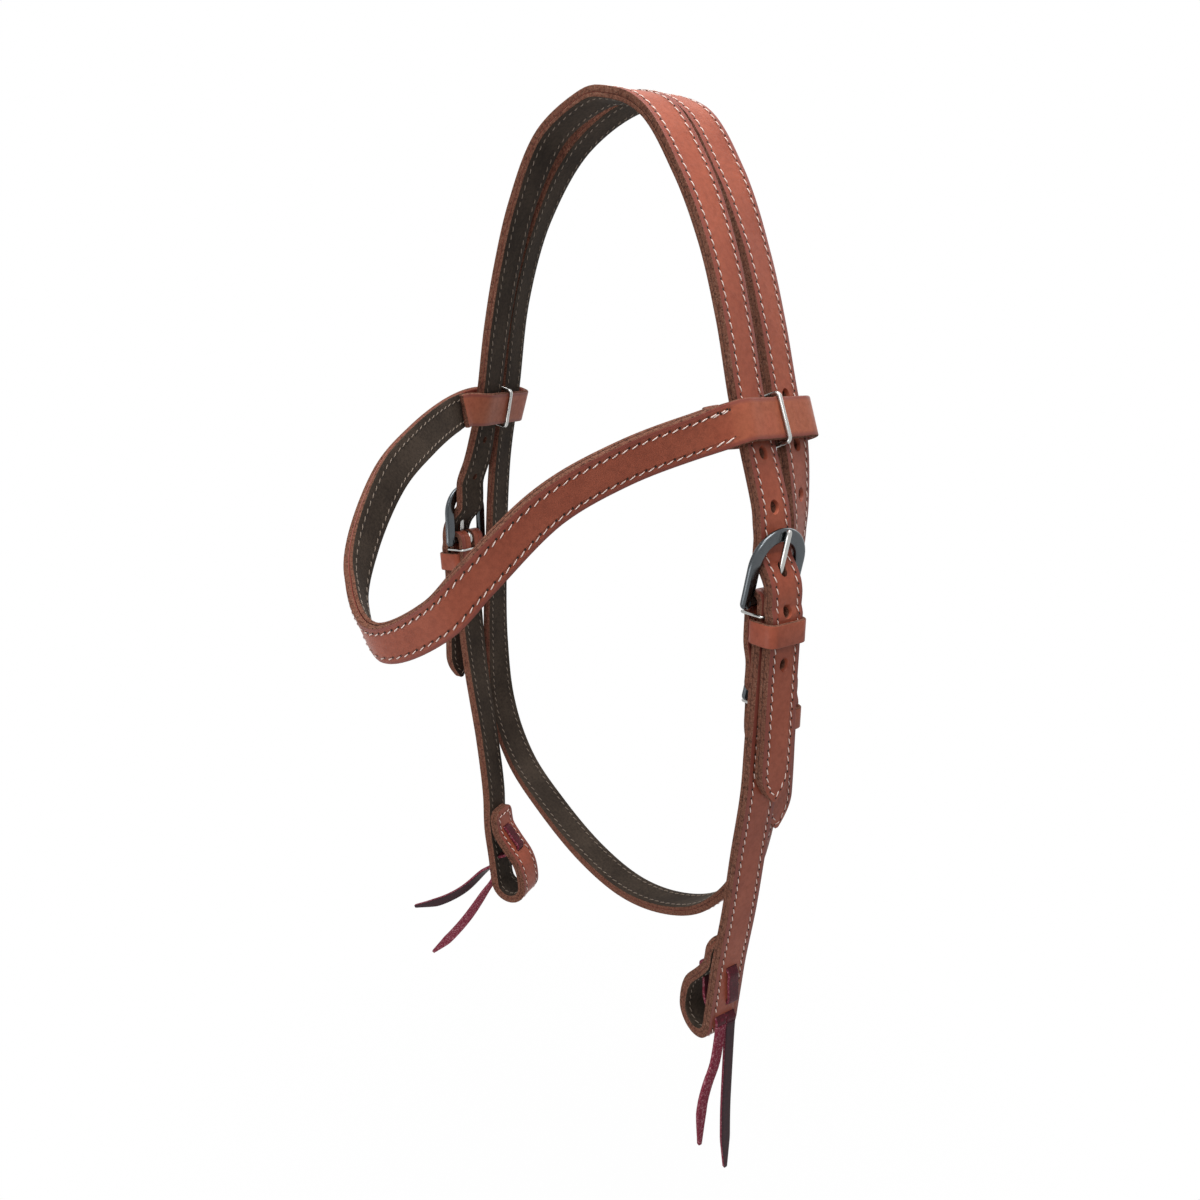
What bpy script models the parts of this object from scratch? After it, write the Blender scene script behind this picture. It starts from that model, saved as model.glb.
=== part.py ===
"""Western bridle: a browband headstall with two cheekpieces and a throatlatch.

The straps are two layers of leather, grain side out, with a lining on the inside.
Sizes are in millimetres. The origin is under the crown strap where it rests on the poll,
+Z is up, the horse faces -Y and its left side is +X.
"""
import math

import bmesh
import bpy
import numpy as np
from mathutils import Matrix, Vector

MM = 0.001

# Strap leather
STRAP_WIDTH = 19.0
OUTER_THICK = 3.0
LINING_THICK = 1.8
EDGE_BEVEL = 0.6
POLL_FLAT = 5.5            # half the flat length that rests on the poll
FLAT_LEAD = 2.2            # flat length beyond each end of the facet at the poll
GAP = 0.3                  # between layers and between neighbouring pieces
STATION_STEP = 15.0        # longest straight facet along a strap
STATION_TURN = 13.0        # most that a strap turns between two stations, degrees
PIN_ROOM = 2.0             # between a pinned station and the next one
BILLET_POINT = 17.0        # length of a billet's pointed end
LEAF_ROUND = 6.0           # corner radius of a turned-back end

# Buckles: a round-topped frame in one piece with its heel bar
RAIL_WIDTH = 6.5
STRAP_PLAY = 1.0           # beside the strap inside a frame
FRAME_WIDTH = STRAP_WIDTH + 2 * (RAIL_WIDTH + STRAP_PLAY)
FRAME_THICK = 3.0
FRAME_ARCH_HEIGHT = 17.0   # centre of the arch above the bar
FRAME_EDGE = 1.0
BAR_RADIUS = 2.0
TONGUE_RADIUS = 1.35
TONGUE_OVERHANG = 3.5      # tongue tip past the middle of the arch
TONGUE_SIDE_PLAY = 0.65
BILLET_SLOT = (0.5, 22.0)  # height of the tongue's slot in the billet
SLOT_PLAY = 0.4            # between the tongue and the end of its slot
SLOT_SPARE = 1.0           # a cutter's reach past the leather
FRAME_SWING = 3.0          # degrees, the play that the buckled strap leaves
TONGUE_SWING = 2.0

# Turned-back end of the strap that carries a buckle
LEAF_LENGTH = 45.0
LINING_START = 10.0        # below the bar
STAPLE_DROP = 5.8
STAPLE_RADIUS = 0.7
KEEPER_DROP = 8.0
KEEPER_HEIGHT = 10.8
KEEPER_THICK = 2.0
KEEPER_CORNER = 1.0
KEEPER_ROOM = 12.7         # clear depth inside the keeper

# Adjustment holes, counted from a spot above the bar given as up and out
HOLE_RADIUS = 2.4
CROWN_SPOT = (17.6, -1.9)
CROWN_HOLE_PITCH = 24.0
CROWN_HOLES = (-2, -1, 1, 2)
THROAT_SPOT = (10.5, 5.2)
THROAT_HOLE_PITCH = 22.5
THROAT_HOLES = (-1, 1, 2, 3, 4, 5, 6)

# Browband loops, which slide on the crown strap and the throatlatch
LOOP_ROOM = 1.55           # between a strap's face and the loop's wall
LOOP_END_ROOM = 1.2        # behind the throatlatch's rear edge
LOOP_HEIGHT = -143.4       # middle of the loops
RETURN_LAP = ((-0.5, 1.55), (3.0, 0.7), (6.0, 0.5))    # past the lining's end, and behind it
LOOP_LINING_END = 20.0     # front of the crown strap's middle line
BAND_STAPLE_RADIUS = 0.9
BAND_STAPLE_SPREAD = 0.4

# Bit loops and their ties
BIT_LOOP_RADIUS = 9.6
BIT_LOOP_CENTRE = 21.4
LACE_WIDTH = 6.2
LACE_THICK = 2.0
LACE_ROOM = 0.35
TAIL_TIP = 2.2

HALF = STRAP_WIDTH / 2
LINING_BACK = GAP + LINING_THICK
FOLD_RADIUS = BAR_RADIUS + GAP + 0.05
RAIL_INNER = FRAME_WIDTH / 2 - RAIL_WIDTH
TONGUE_EYE = BAR_RADIUS + GAP + TONGUE_RADIUS


def unit(vector):
    return vector / np.linalg.norm(vector)


class Place:
    """A spot on one side of the head with its own up, out and across directions.

    Yaw turns the strap's width about the vertical, tilt leans its top outwards.
    Across always runs from the front to the rear of the horse.
    """

    def __init__(self, side, origin, yaw, tilt):
        turn, lean = math.radians(yaw), math.radians(tilt)
        self.side = side
        self.yaw = yaw
        self.origin = np.array(origin, float)
        self.across = np.array((side * math.sin(turn), math.cos(turn), 0.0))
        level = side * np.array((math.cos(turn), -side * math.sin(turn), 0.0))
        rise = np.array((0.0, 0.0, 1.0))
        self.up = math.cos(lean) * rise + math.sin(lean) * level
        self.out = math.cos(lean) * level - math.sin(lean) * rise

    def at(self, up, out, across=0.0):
        return self.origin + up * self.up + out * self.out + across * self.across

    def matrix(self):
        """Local x is out, y is across and z is up, as a proper rotation on both sides."""
        columns = (self.out, self.side * self.across, self.up)
        turn = Matrix([Vector(column) for column in columns]).transposed()
        return Matrix.Translation(Vector(self.origin * MM)) @ turn.to_4x4()


def yawed(side, degrees):
    """Level direction across a strap, front to rear."""
    turn = math.radians(degrees)
    return (side * math.sin(turn), math.cos(turn), 0.0)


def stop(point, across, lift=0.0, edge=0.0, flat=False):
    """One point of a route. Lift and edge say how far out and how far towards the front
    or top edge of the strap the given point lies from its middle seam. Between two stops
    marked flat the strap is one flat facet."""
    return {"point": np.array(point, float), "across": across, "lift": lift, "edge": edge,
            "flat": flat}


def smooth_line(points, spacing=0.5):
    """Centripetal Catmull-Rom curve: its samples and the stop number of each."""
    points = [np.array(point, float) for point in points]
    padded = [2 * points[0] - points[1], *points, 2 * points[-1] - points[-2]]
    samples, numbers = [], []
    for number in range(len(points) - 1):
        p0, p1, p2, p3 = padded[number:number + 4]
        t1 = np.linalg.norm(p1 - p0) ** 0.5
        t2 = t1 + np.linalg.norm(p2 - p1) ** 0.5
        t3 = t2 + np.linalg.norm(p3 - p2) ** 0.5
        count = max(2, math.ceil(np.linalg.norm(p2 - p1) / spacing))
        for step in range(count):
            t = t1 + (t2 - t1) * step / count
            a1 = (t1 - t) / t1 * p0 + t / t1 * p1
            a2 = (t2 - t) / (t2 - t1) * p1 + (t - t1) / (t2 - t1) * p2
            a3 = (t3 - t) / (t3 - t2) * p2 + (t - t2) / (t3 - t2) * p3
            b1 = (t2 - t) / t2 * a1 + t / t2 * a2
            b2 = (t3 - t) / (t3 - t1) * a2 + (t - t1) / (t3 - t1) * a3
            samples.append((t2 - t) / (t2 - t1) * b1 + (t - t1) / (t2 - t1) * b2)
            numbers.append(number + step / count)
    samples.append(points[-1])
    numbers.append(len(points) - 1.0)
    return np.array(samples), np.array(numbers)


class Route:
    """The seam line of a strap with its along, across and outward directions.

    Outward is across x along, so a route runs up the left side and down the right one.
    """

    def __init__(self, stops):
        samples, numbers = smooth_line([item["point"] for item in stops])
        middle, across = [], []
        for index, item in enumerate(stops):
            near = int(np.argmin(abs(numbers - index)))
            low, high = max(near - 1, 0), min(near + 1, len(samples) - 1)
            along = unit(samples[high] - samples[low])
            side = self.lean_across(along, item["across"])
            side = unit(side - side.dot(along) * along)
            out = np.cross(side, along)
            across.append(side)
            middle.append(item["point"] - item["lift"] * out + item["edge"] * side)
        self.points, numbers = smooth_line(middle)
        along = np.gradient(self.points, axis=0)
        self.along = along / np.linalg.norm(along, axis=1)[:, None]
        order = np.arange(len(stops))
        across = np.array(across)
        level = np.stack([np.interp(numbers, order, across[:, axis]) for axis in range(3)], axis=1)
        level -= (level * self.along).sum(axis=1)[:, None] * self.along
        self.across = level / np.linalg.norm(level, axis=1)[:, None]
        self.out = np.cross(self.across, self.along)
        steps = np.linalg.norm(np.diff(self.points, axis=0), axis=1)
        self.reach = np.concatenate(([0.0], np.cumsum(steps)))
        self.length = float(self.reach[-1])
        flat = [self.nearest(item["point"]) for item in stops if item["flat"]]
        if flat:
            self.level_out(*flat)
        self.marks = self.mark_stations(flat)

    @staticmethod
    def lean_across(along, across):
        """A number stands for a strap on edge, its lower edge leaning in by that angle."""
        if not isinstance(across, (int, float)):
            return np.array(across, float)
        down = np.array((0.0, 0.0, -1.0))
        inward = unit(np.array((-along[1], along[0], 0.0)))
        lean = math.radians(across)
        fall = unit(down - down.dot(along) * along)
        return math.cos(lean) * fall + math.sin(lean) * inward

    def level_out(self, start, end):
        """Straighten the strap between two distances and lay it level there."""
        low, high = np.searchsorted(self.reach, (start, end))
        share = np.linspace(0.0, 1.0, high - low + 1)[:, None]
        self.points[low:high + 1] = (1 - share) * self.points[low] + share * self.points[high]
        along = unit(self.points[high] - self.points[low])
        across = unit(np.cross(along, (0.0, 0.0, 1.0)))
        self.along[low:high + 1] = along
        self.across[low:high + 1] = across
        self.out[low:high + 1] = np.cross(across, along)

    def mark_stations(self, flat):
        marks, last, turned = [0.0], 0, 0.0
        for index in range(1, len(self.points) - 1):
            for facing in (self.out, self.across):
                cosine = float(np.clip(facing[index].dot(facing[index - 1]), -1, 1))
                turned += math.degrees(math.acos(cosine))
            if turned >= STATION_TURN or self.reach[index] - self.reach[last] >= STATION_STEP:
                marks.append(float(self.reach[index]))
                last, turned = index, 0.0
        marks.append(self.length)
        if flat:
            start, end = flat
            marks = [mark for mark in marks if mark < start - PIN_ROOM or mark > end + PIN_ROOM]
            marks += [start, start + FLAT_LEAD, end - FLAT_LEAD, end]
        return sorted(marks)

    def pin(self, spots):
        """Put a station at each of these distances, clear of the ones beside it."""
        marks = [mark for mark in self.marks
                 if all(abs(mark - spot) > PIN_ROOM for spot in spots)]
        self.marks = sorted(marks + list(spots))

    def frame(self, distance):
        """Position, along, across and out at a distance from the start."""
        values = (self.points, self.along, self.across, self.out)
        found = [np.array([np.interp(distance, self.reach, value[:, axis]) for axis in range(3)])
                 for value in values]
        return found[0], unit(found[1]), unit(found[2]), unit(found[3])

    def nearest(self, point):
        gaps = np.linalg.norm(self.points - np.array(point), axis=1)
        return float(self.reach[int(np.argmin(gaps))])

    def at_height(self, height, side):
        """Distance of the first sample on a side of the head that is at a height."""
        beside = self.points[:, 0] * side > 0
        gaps = np.where(beside, abs(self.points[:, 2] - height), np.inf)
        return float(self.reach[int(np.argmin(gaps))])


def square_end(_distance):
    return 1.0


def pointed_end(distance):
    """Share of the strap's width at a distance from a billet's point."""
    share = min(distance / BILLET_POINT, 1.0)
    return 0.1 + 0.9 * (1 - (1 - share) ** 1.9)


def rounded_end(distance):
    """Share of the strap's width at a distance from a round-cornered end."""
    missing = LEAF_ROUND - min(distance, LEAF_ROUND)
    return 1 - (LEAF_ROUND - math.sqrt(LEAF_ROUND ** 2 - missing ** 2)) / HALF


def lace_end(distance):
    """Share of a lace's width at a distance from its cut end."""
    return min(1.0, (TAIL_TIP + distance / 5) / LACE_WIDTH)


END_STEPS = {
    square_end: (),
    lace_end: (),
    pointed_end: (2.0, 5.0, 9.0, 13.0, BILLET_POINT),
    rounded_end: (1.0, 3.0, LEAF_ROUND),
}


def add_object(name, mesh, collection):
    item = bpy.data.objects.new(name, mesh)
    collection.objects.link(item)
    return item


def ribbon(name, route, start, end, base, thick, width, ends=(square_end, square_end),
           collection=None):
    """A layer of leather along a route: a grid with a thickness that grows outwards from
    its base, or inwards where it is negative."""
    tip_marks = [start + mark for mark in END_STEPS[ends[0]]]
    tip_marks += [end - mark for mark in END_STEPS[ends[1]]]
    low = start + (END_STEPS[ends[0]][-1] + 1 if END_STEPS[ends[0]] else 1.5)
    high = end - (END_STEPS[ends[1]][-1] + 1 if END_STEPS[ends[1]] else 1.5)
    middle = [mark for mark in route.marks if low < mark < high]
    marks = sorted([start, *tip_marks, *middle, end])
    mesh = bpy.data.meshes.new(name)
    sheet = bmesh.new()
    bmesh.ops.create_grid(sheet, x_segments=1, y_segments=len(marks) - 1, size=0.5)
    rows = sorted(sheet.verts, key=lambda vert: (round(vert.co.y, 5), vert.co.x))
    for number, mark in enumerate(marks):
        point, _along, across, out = route.frame(mark)
        half = width / 2 * ends[0](mark - start) * ends[1](end - mark)
        for vert, side in zip(rows[2 * number:2 * number + 2], (-1, 1)):
            vert.co = Vector((point + out * base + across * half * side) * MM)
    bmesh.ops.triangulate(sheet, faces=sheet.faces, quad_method="FIXED")
    sheet.to_mesh(mesh)
    sheet.free()
    item = add_object(name, mesh, collection or PARTS)
    wall = item.modifiers.new("thickness", "SOLIDIFY")
    wall.thickness = abs(thick) * MM
    wall.offset = math.copysign(1.0, thick)
    wall.use_even_offset = True
    return item


def round_edges(item, width, degrees=50.0):
    bevel = item.modifiers.new("rounded edge", "BEVEL")
    bevel.width = width * MM
    bevel.segments = 1
    bevel.limit_method = "ANGLE"
    bevel.angle_limit = math.radians(degrees)


def cut(item, cutter, doubles_back=False):
    boolean = item.modifiers.new("cut by " + cutter.name, "BOOLEAN")
    boolean.operation = "DIFFERENCE"
    boolean.use_self = doubles_back
    boolean.object = cutter
    cutter.hide_render = True
    cutter.display_type = "WIRE"


def mesh_from_curve(name, splines, collection, depth=0.0, extrude=0.0, cyclic=False,
                    sides=2, radii=None):
    """A wire or a filled flat outline as one closed mesh."""
    curve = bpy.data.curves.new(name, "CURVE")
    curve.dimensions = "2D" if extrude else "3D"
    curve.bevel_depth = depth * MM
    curve.bevel_resolution = sides
    curve.extrude = extrude * MM
    curve.fill_mode = "BOTH" if extrude else "FULL"
    curve.use_fill_caps = True
    for points in splines:
        spline = curve.splines.new("POLY")
        spline.points.add(len(points) - 1)
        for number, point in enumerate(points):
            flat = list(point) + [0.0] * (3 - len(point))
            spline.points[number].co = (*[value * MM for value in flat], 1.0)
            spline.points[number].radius = radii[number] if radii else 1.0
        spline.use_cyclic_u = cyclic
    guide = bpy.data.objects.new(name + " outline", curve)
    collection.objects.link(guide)
    bpy.context.view_layer.update()
    graph = bpy.context.evaluated_depsgraph_get()
    mesh = bpy.data.meshes.new_from_object(guide.evaluated_get(graph))
    bpy.data.objects.remove(guide)
    body = bmesh.new()
    body.from_mesh(mesh)
    bmesh.ops.remove_doubles(body, verts=body.verts, dist=0.001 * MM)
    bmesh.ops.recalc_face_normals(body, faces=body.faces)
    body.to_mesh(mesh)
    body.free()
    return add_object(name, mesh, collection)


def arc(centre, radius, first, last, steps):
    """Points on a circle in a plane, angles in degrees, both ends included."""
    turns = [math.radians(first + (last - first) * step / steps) for step in range(steps + 1)]
    return [(centre[0] + radius * math.cos(turn), centre[1] + radius * math.sin(turn))
            for turn in turns]


def rounded_box(half_x, half_y, radius, steps):
    """Outline of a rectangle with round corners, centred on the origin."""
    points = []
    for quarter, (sx, sy) in enumerate(((1, 1), (-1, 1), (-1, -1), (1, -1))):
        centre = (sx * (half_x - radius), sy * (half_y - radius))
        points += arc(centre, radius, 90 * quarter, 90 * quarter + 90, steps)
    return points


def paint(name, colour, roughness, metallic=0.0):
    material = bpy.data.materials.new(name)
    material.use_nodes = True
    shader = material.node_tree.nodes["Principled BSDF"]
    shader.inputs["Base Color"].default_value = (*colour, 1.0)
    shader.inputs["Roughness"].default_value = roughness
    shader.inputs["Metallic"].default_value = metallic
    return material


def finish(item, look):
    item.data.materials.clear()
    item.data.materials.append(look.copy())
    item.data.materials[0].name = item.name
    for polygon in item.data.polygons:
        polygon.material_index = 0
    return item


def frame_outline():
    """Closed outline of the frame's two rails and arch, in across and up."""
    outer, inner = FRAME_WIDTH / 2, RAIL_INNER
    heel = RAIL_WIDTH / 2
    middle = outer - heel
    points = arc((0, FRAME_ARCH_HEIGHT), outer, 0, 180, 12)
    points += arc((-middle, 0), heel, 180, 360, 4)
    points += arc((0, FRAME_ARCH_HEIGHT), inner, 180, 0, 10)
    points += arc((middle, 0), heel, 180, 360, 4)
    return points


def buckle_frame(name, place):
    rails = mesh_from_curve(name, [frame_outline()], PARTS, extrude=FRAME_THICK / 2, cyclic=True)
    rails.data.transform(Matrix(((0, 0, 1), (1, 0, 0), (0, 1, 0))).to_4x4())
    round_edges(rails, FRAME_EDGE, 60.0)
    bar = bpy.data.meshes.new(name + " bar")
    body = bmesh.new()
    bmesh.ops.create_cone(body, cap_ends=True, segments=16, radius1=BAR_RADIUS * MM,
                          radius2=BAR_RADIUS * MM, depth=2 * (RAIL_INNER + 2.5) * MM,
                          matrix=Matrix.Rotation(math.pi / 2, 4, "X"))
    body.to_mesh(bar)
    body.free()
    bar_item = add_object(name + " bar", bar, CUTTERS)
    bar_item.hide_render = True
    bar_item.display_type = "WIRE"
    join = rails.modifiers.new("heel bar", "BOOLEAN")
    join.operation = "UNION"
    join.object = bar_item
    for item in (rails, bar_item):
        item.matrix_world = place.matrix()
    return finish(rails, NICKEL)


def tongue_line():
    """Wire of the tongue in out and up: the eye round the bar, then the shank."""
    eye = arc((0, 0), TONGUE_EYE, 85, 360, 11)
    rest = FRAME_THICK / 2 + GAP + TONGUE_RADIUS
    arch_middle = FRAME_ARCH_HEIGHT + FRAME_WIDTH / 2 - RAIL_WIDTH / 2
    tip = arch_middle + TONGUE_OVERHANG
    return eye + [(TONGUE_EYE, 4.0), (rest, FRAME_ARCH_HEIGHT), (rest, tip - 2.0), (rest, tip)]


def buckle_tongue(name, place):
    line = [(out, 0.0, up) for out, up in tongue_line()]
    radii = [1.0] * (len(line) - 2) + [0.95, 0.6]
    item = mesh_from_curve(name, [line], PARTS, depth=TONGUE_RADIUS, radii=radii)
    item.matrix_world = place.matrix()
    return finish(item, NICKEL)


def keeper(name, place):
    """A leather band round the strap, the billet and the inner run behind the lining."""
    near = FOLD_RADIUS - LINING_BACK - GAP
    far = near + KEEPER_ROOM
    outline = rounded_box(KEEPER_ROOM / 2, HALF + 0.7, KEEPER_CORNER, 2)
    mesh = bpy.data.meshes.new(name)
    body = bmesh.new()
    bmesh.ops.create_cone(body, cap_ends=False, segments=len(outline), radius1=1.0, radius2=1.0,
                          depth=1.0)
    rim = sorted(body.verts, key=lambda vert: (vert.co.z, math.atan2(vert.co.y, vert.co.x)))
    turned = sorted(outline, key=lambda point: math.atan2(point[1], point[0]))
    for number, vert in enumerate(rim):
        across = turned[number % len(turned)]
        height = -KEEPER_DROP - (KEEPER_HEIGHT if number < len(turned) else 0.0)
        vert.co = Vector(((near + far) / 2 + across[0], across[1], height)) * MM
    bmesh.ops.recalc_face_normals(body, faces=body.faces)
    body.to_mesh(mesh)
    body.free()
    item = add_object(name, mesh, PARTS)
    wall = item.modifiers.new("thickness", "SOLIDIFY")
    wall.thickness = KEEPER_THICK * MM
    wall.offset = 1.0
    wall.use_even_offset = True
    round_edges(item, 0.4, 60.0)
    item.matrix_world = place.matrix()
    return finish(item, LEATHER)


def turnover_staple(name, place):
    """A closed wire round the strap and its turned-back leaf, just under the bar."""
    half_out = FOLD_RADIUS + OUTER_THICK + GAP + STAPLE_RADIUS
    half_across = HALF + GAP + STAPLE_RADIUS
    outline = rounded_box(half_out, half_across, 0.6, 2)
    line = [(out, across, -STAPLE_DROP) for out, across in outline]
    item = mesh_from_curve(name, [line], PARTS, depth=STAPLE_RADIUS, cyclic=True, sides=1)
    item.matrix_world = place.matrix()
    return finish(item, NICKEL)


def tongue_slot(name, place, low, high, below, above):
    """A block round the tongue's path, opening upwards to leave room for its swing."""
    mesh = bpy.data.meshes.new(name)
    body = bmesh.new()
    bmesh.ops.create_cube(body, size=2.0)
    half = TONGUE_RADIUS + TONGUE_SIDE_PLAY
    swing = math.tan(math.radians(FRAME_SWING + TONGUE_SWING))
    for vert in body.verts:
        up = high if vert.co.z > 0 else low
        out = above + max(up, 0.0) * swing if vert.co.x > 0 else below
        vert.co = Vector((out, vert.co.y * half, up)) * MM
    body.to_mesh(mesh)
    body.free()
    item = add_object(name, mesh, CUTTERS)
    item.matrix_world = place.matrix()
    return item


def fold_stops(hang, yaw_below):
    """Seam of the end that turns round the bar, from the leaf's end to the keeper."""
    side = hang.side
    across = tuple(hang.across)
    close = FOLD_RADIUS - LINING_BACK - GAP
    leaf_behind = -FOLD_RADIUS
    below_keeper = KEEPER_DROP + KEEPER_HEIGHT
    stops = [stop(hang.at(-LEAF_LENGTH, close - 0.9), across),
             stop(hang.at(-below_keeper - 10.0, close - 0.3), across),
             stop(hang.at(-below_keeper - 1.5, leaf_behind + 0.1), across),
             stop(hang.at(-KEEPER_DROP, leaf_behind), across),
             stop(hang.at(-3.0, leaf_behind), across)]
    for out, up in arc((0, 0), FOLD_RADIUS, 180, 0, 6):
        stops.append(stop(hang.at(up, out), across))
    stops += [stop(hang.at(-3.0, FOLD_RADIUS), across),
              stop(hang.at(-KEEPER_DROP, FOLD_RADIUS), across),
              stop(hang.at(-below_keeper, FOLD_RADIUS), yawed(side, yaw_below))]
    return stops


def billet_stops(frame, hang, approach, tail):
    """Seam of a billet from above the frame, through it, over the bar, into the keeper."""
    across = tuple(frame.across)
    under_arch = -(FRAME_THICK / 2 + OUTER_THICK)
    through = [(22.8, under_arch - 0.5), (20.3, under_arch + 0.1), (17.6, -1.9), (14.5, 1.6),
               (10.5, 5.2), (6.5, 7.2), (2.0, 8.2)]
    over_fold = FOLD_RADIUS + OUTER_THICK + GAP + LINING_BACK
    over_staple = over_fold + 2 * STAPLE_RADIUS + GAP
    stops = [stop(frame.at(up, out), across) for up, out in approach + through]
    below = [(-2.0, over_fold + 0.6), (-STAPLE_DROP, over_staple + 0.05),
             (-KEEPER_DROP, over_staple - 0.1), (-KEEPER_DROP - KEEPER_HEIGHT, over_staple - 0.65)]
    stops += [stop(hang.at(up, out), across) for up, out in below]
    stops += [stop(hang.at(up, out, shift), yawed(hang.side, yaw)) for up, out, shift, yaw in tail]
    return stops


def punch(name, route, distances):
    """One cutter for a row of round holes through both layers."""
    mesh = bpy.data.meshes.new(name)
    body = bmesh.new()
    for distance in distances:
        point, along, across, out = route.frame(distance)
        turn = Matrix([Vector(along), Vector(across), Vector(np.cross(along, across))]).transposed()
        middle = point + out * (OUTER_THICK - LINING_BACK) / 2
        spot = Matrix.Translation(Vector(middle * MM)) @ turn.to_4x4()
        bmesh.ops.create_cone(body, cap_ends=True, segments=8, radius1=HOLE_RADIUS * MM,
                              radius2=HOLE_RADIUS * MM,
                              depth=(OUTER_THICK + LINING_BACK + 2.0) * MM, matrix=spot)
    body.to_mesh(mesh)
    body.free()
    return add_object(name, mesh, CUTTERS)


def lined_strap(name, route, outer_span, lining_span, outer_ends, lining_ends, cutters):
    """Both layers of one strap, with the same cuts through each."""
    route.pin(lining_span)
    outer = ribbon(name + "_strap", route, *outer_span, 0.0, OUTER_THICK, STRAP_WIDTH, outer_ends)
    round_edges(outer, EDGE_BEVEL)
    lining = ribbon(name + "_lining", route, *lining_span, -GAP, -LINING_THICK, STRAP_WIDTH,
                    lining_ends)
    for cutter in cutters:
        cut(outer, cutter)
        cut(lining, cutter)
    finish(outer, LEATHER)
    finish(lining, LINING)
    return outer, lining


def buckle_set(name, frame, hang):
    buckle_frame(name + "_buckle_frame", frame)
    buckle_tongue(name + "_buckle_tongue", frame)
    keeper(name + "_keeper", hang)
    turnover_staple(name + "_turnover_staple", hang)


def holes_beside(tongue_spot, pitch, numbers, direction):
    """Distances of the punched holes, counted up the strap from the tongue's own hole."""
    return [tongue_spot + direction * pitch * number for number in numbers]


def crown_route():
    left_side = [
        stop(LEFT_FRAME.at(39.7, -10.9), yawed(1, 6)),
        stop((99.1, 0.0, -153.9), yawed(1, 1.5)),
        stop((92.3, 0.0, -134.3), yawed(1, 1)),
        stop((83.5, 0.2, -100.9), yawed(1, 0)),
        stop((72.7, 0.4, -68.4), (0.05, 1.0, 0.02)),
        stop((56.3, 0.3, -35.4), (0.13, 0.98, 0.11)),
        stop((33.5, 0.0, -6.8), (0.02, 0.97, 0.22)),
        stop((POLL_FLAT, 0.0, LINING_BACK), yawed(1, -8.6), flat=True),
        stop((-POLL_FLAT, 0.0, LINING_BACK), yawed(1, -8.6), flat=True),
    ]
    right_side = [
        stop((-38.0, -0.6, -6.4), yawed(-1, 16), OUTER_THICK),
        stop((-62.0, -0.6, -33.8), yawed(-1, 20), OUTER_THICK),
        stop((-78.7, -0.3, -67.2), yawed(-1, 20), OUTER_THICK),
        stop((-89.6, -0.5, -100.0), yawed(-1, 20), OUTER_THICK),
        stop((-98.1, -0.6, -133.4), yawed(-1, 22), OUTER_THICK),
        stop((-104.6, -0.6, -153.4), yawed(-1, 22), OUTER_THICK),
        stop(RIGHT_FRAME.at(50.0, -12.2), yawed(-1, 14)),
    ]
    left_billet = billet_stops(LEFT_FRAME, LEFT_HANG, [(34.0, -8.4), (27.5, -5.9)],
                               [(-40.6, 8.5, 0.0, 9), (-63.6, 8.5, 0.0, 10), (-97.0, 7.3, 0.5, 10)])
    right_billet = billet_stops(RIGHT_FRAME, RIGHT_HANG, [(36.0, -5.8), (27.5, -5.3)],
                                [(-40.0, 10.8, 0.0, 13), (-54.0, 12.7, 0.0, 13),
                                 (-74.0, 15.1, 0.0, 13), (-93.0, 16.8, 0.0, 13)])
    return Route(left_billet[::-1] + left_side + right_side + right_billet)


def throat_route():
    billet = billet_stops(THROAT_FRAME, THROAT_HANG, [(34.0, -5.2), (27.5, -5.25)],
                          [(-45.0, 8.6, 0.5, 5), (-60.0, 7.6, 1.5, 5), (-73.0, 6.6, 2.0, 5)])
    left_side = [
        stop(THROAT_FRAME.at(49.6, -5.6), yawed(1, 0)),
        stop((103.3, 23.4, -205.5), yawed(1, -14)),
        stop((104.4, 24.1, -192.0), yawed(1, -17)),
        stop((103.4, 24.5, -176.0), yawed(1, -11)),
        stop((99.4, 24.9, -152.5), yawed(1, -2)),
        stop((92.5, 25.5, -134.2), yawed(1, 1)),
        stop((83.6, 25.2, -101.3), yawed(1, 0)),
        stop((72.7, 24.9, -68.5), yawed(1, 0)),
        stop((56.5, 24.7, -35.0), (0.1, 0.99, 0.09)),
        stop((33.6, 24.8, -5.6), (0.02, 0.99, 0.13)),
        stop((0.0, 24.8, 4.8), yawed(1, -10)),
    ]
    right_side = [
        stop((-45.0, 22.0, -8.4), yawed(-1, 24), OUTER_THICK),
        stop((-76.0, 20.1, -43.4), yawed(-1, 28), OUTER_THICK),
        stop((-94.8, 19.5, -84.4), yawed(-1, 26), OUTER_THICK),
        stop((-107.2, 20.5, -133.4), yawed(-1, 24), OUTER_THICK),
        stop((-118.0, 20.5, -177.4), yawed(-1, 24), OUTER_THICK),
        stop((-123.5, 20.0, -229.4), yawed(-1, 22), OUTER_THICK),
        stop((-126.5, 19.5, -296.4), yawed(-1, 14), OUTER_THICK),
    ]
    under_jaw = [(-121.5, -344.4), (-102.0, -378.4), (-69.5, -401.9), (-31.0, -420.4),
                 (5.0, -427.7), (38.0, -422.9), (67.0, -408.4), (90.0, -380.4), (97.0, -358.4)]
    bottom = [stop((x, 20.0, z), yawed(1, 0), OUTER_THICK) for x, z in under_jaw]
    bottom.append(stop((100.0, 20.8, -328.4), yawed(1, 3), OUTER_THICK))
    fold = fold_stops(THROAT_HANG, 5)
    return Route(billet[::-1] + left_side + right_side + bottom + fold[::-1])


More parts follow.
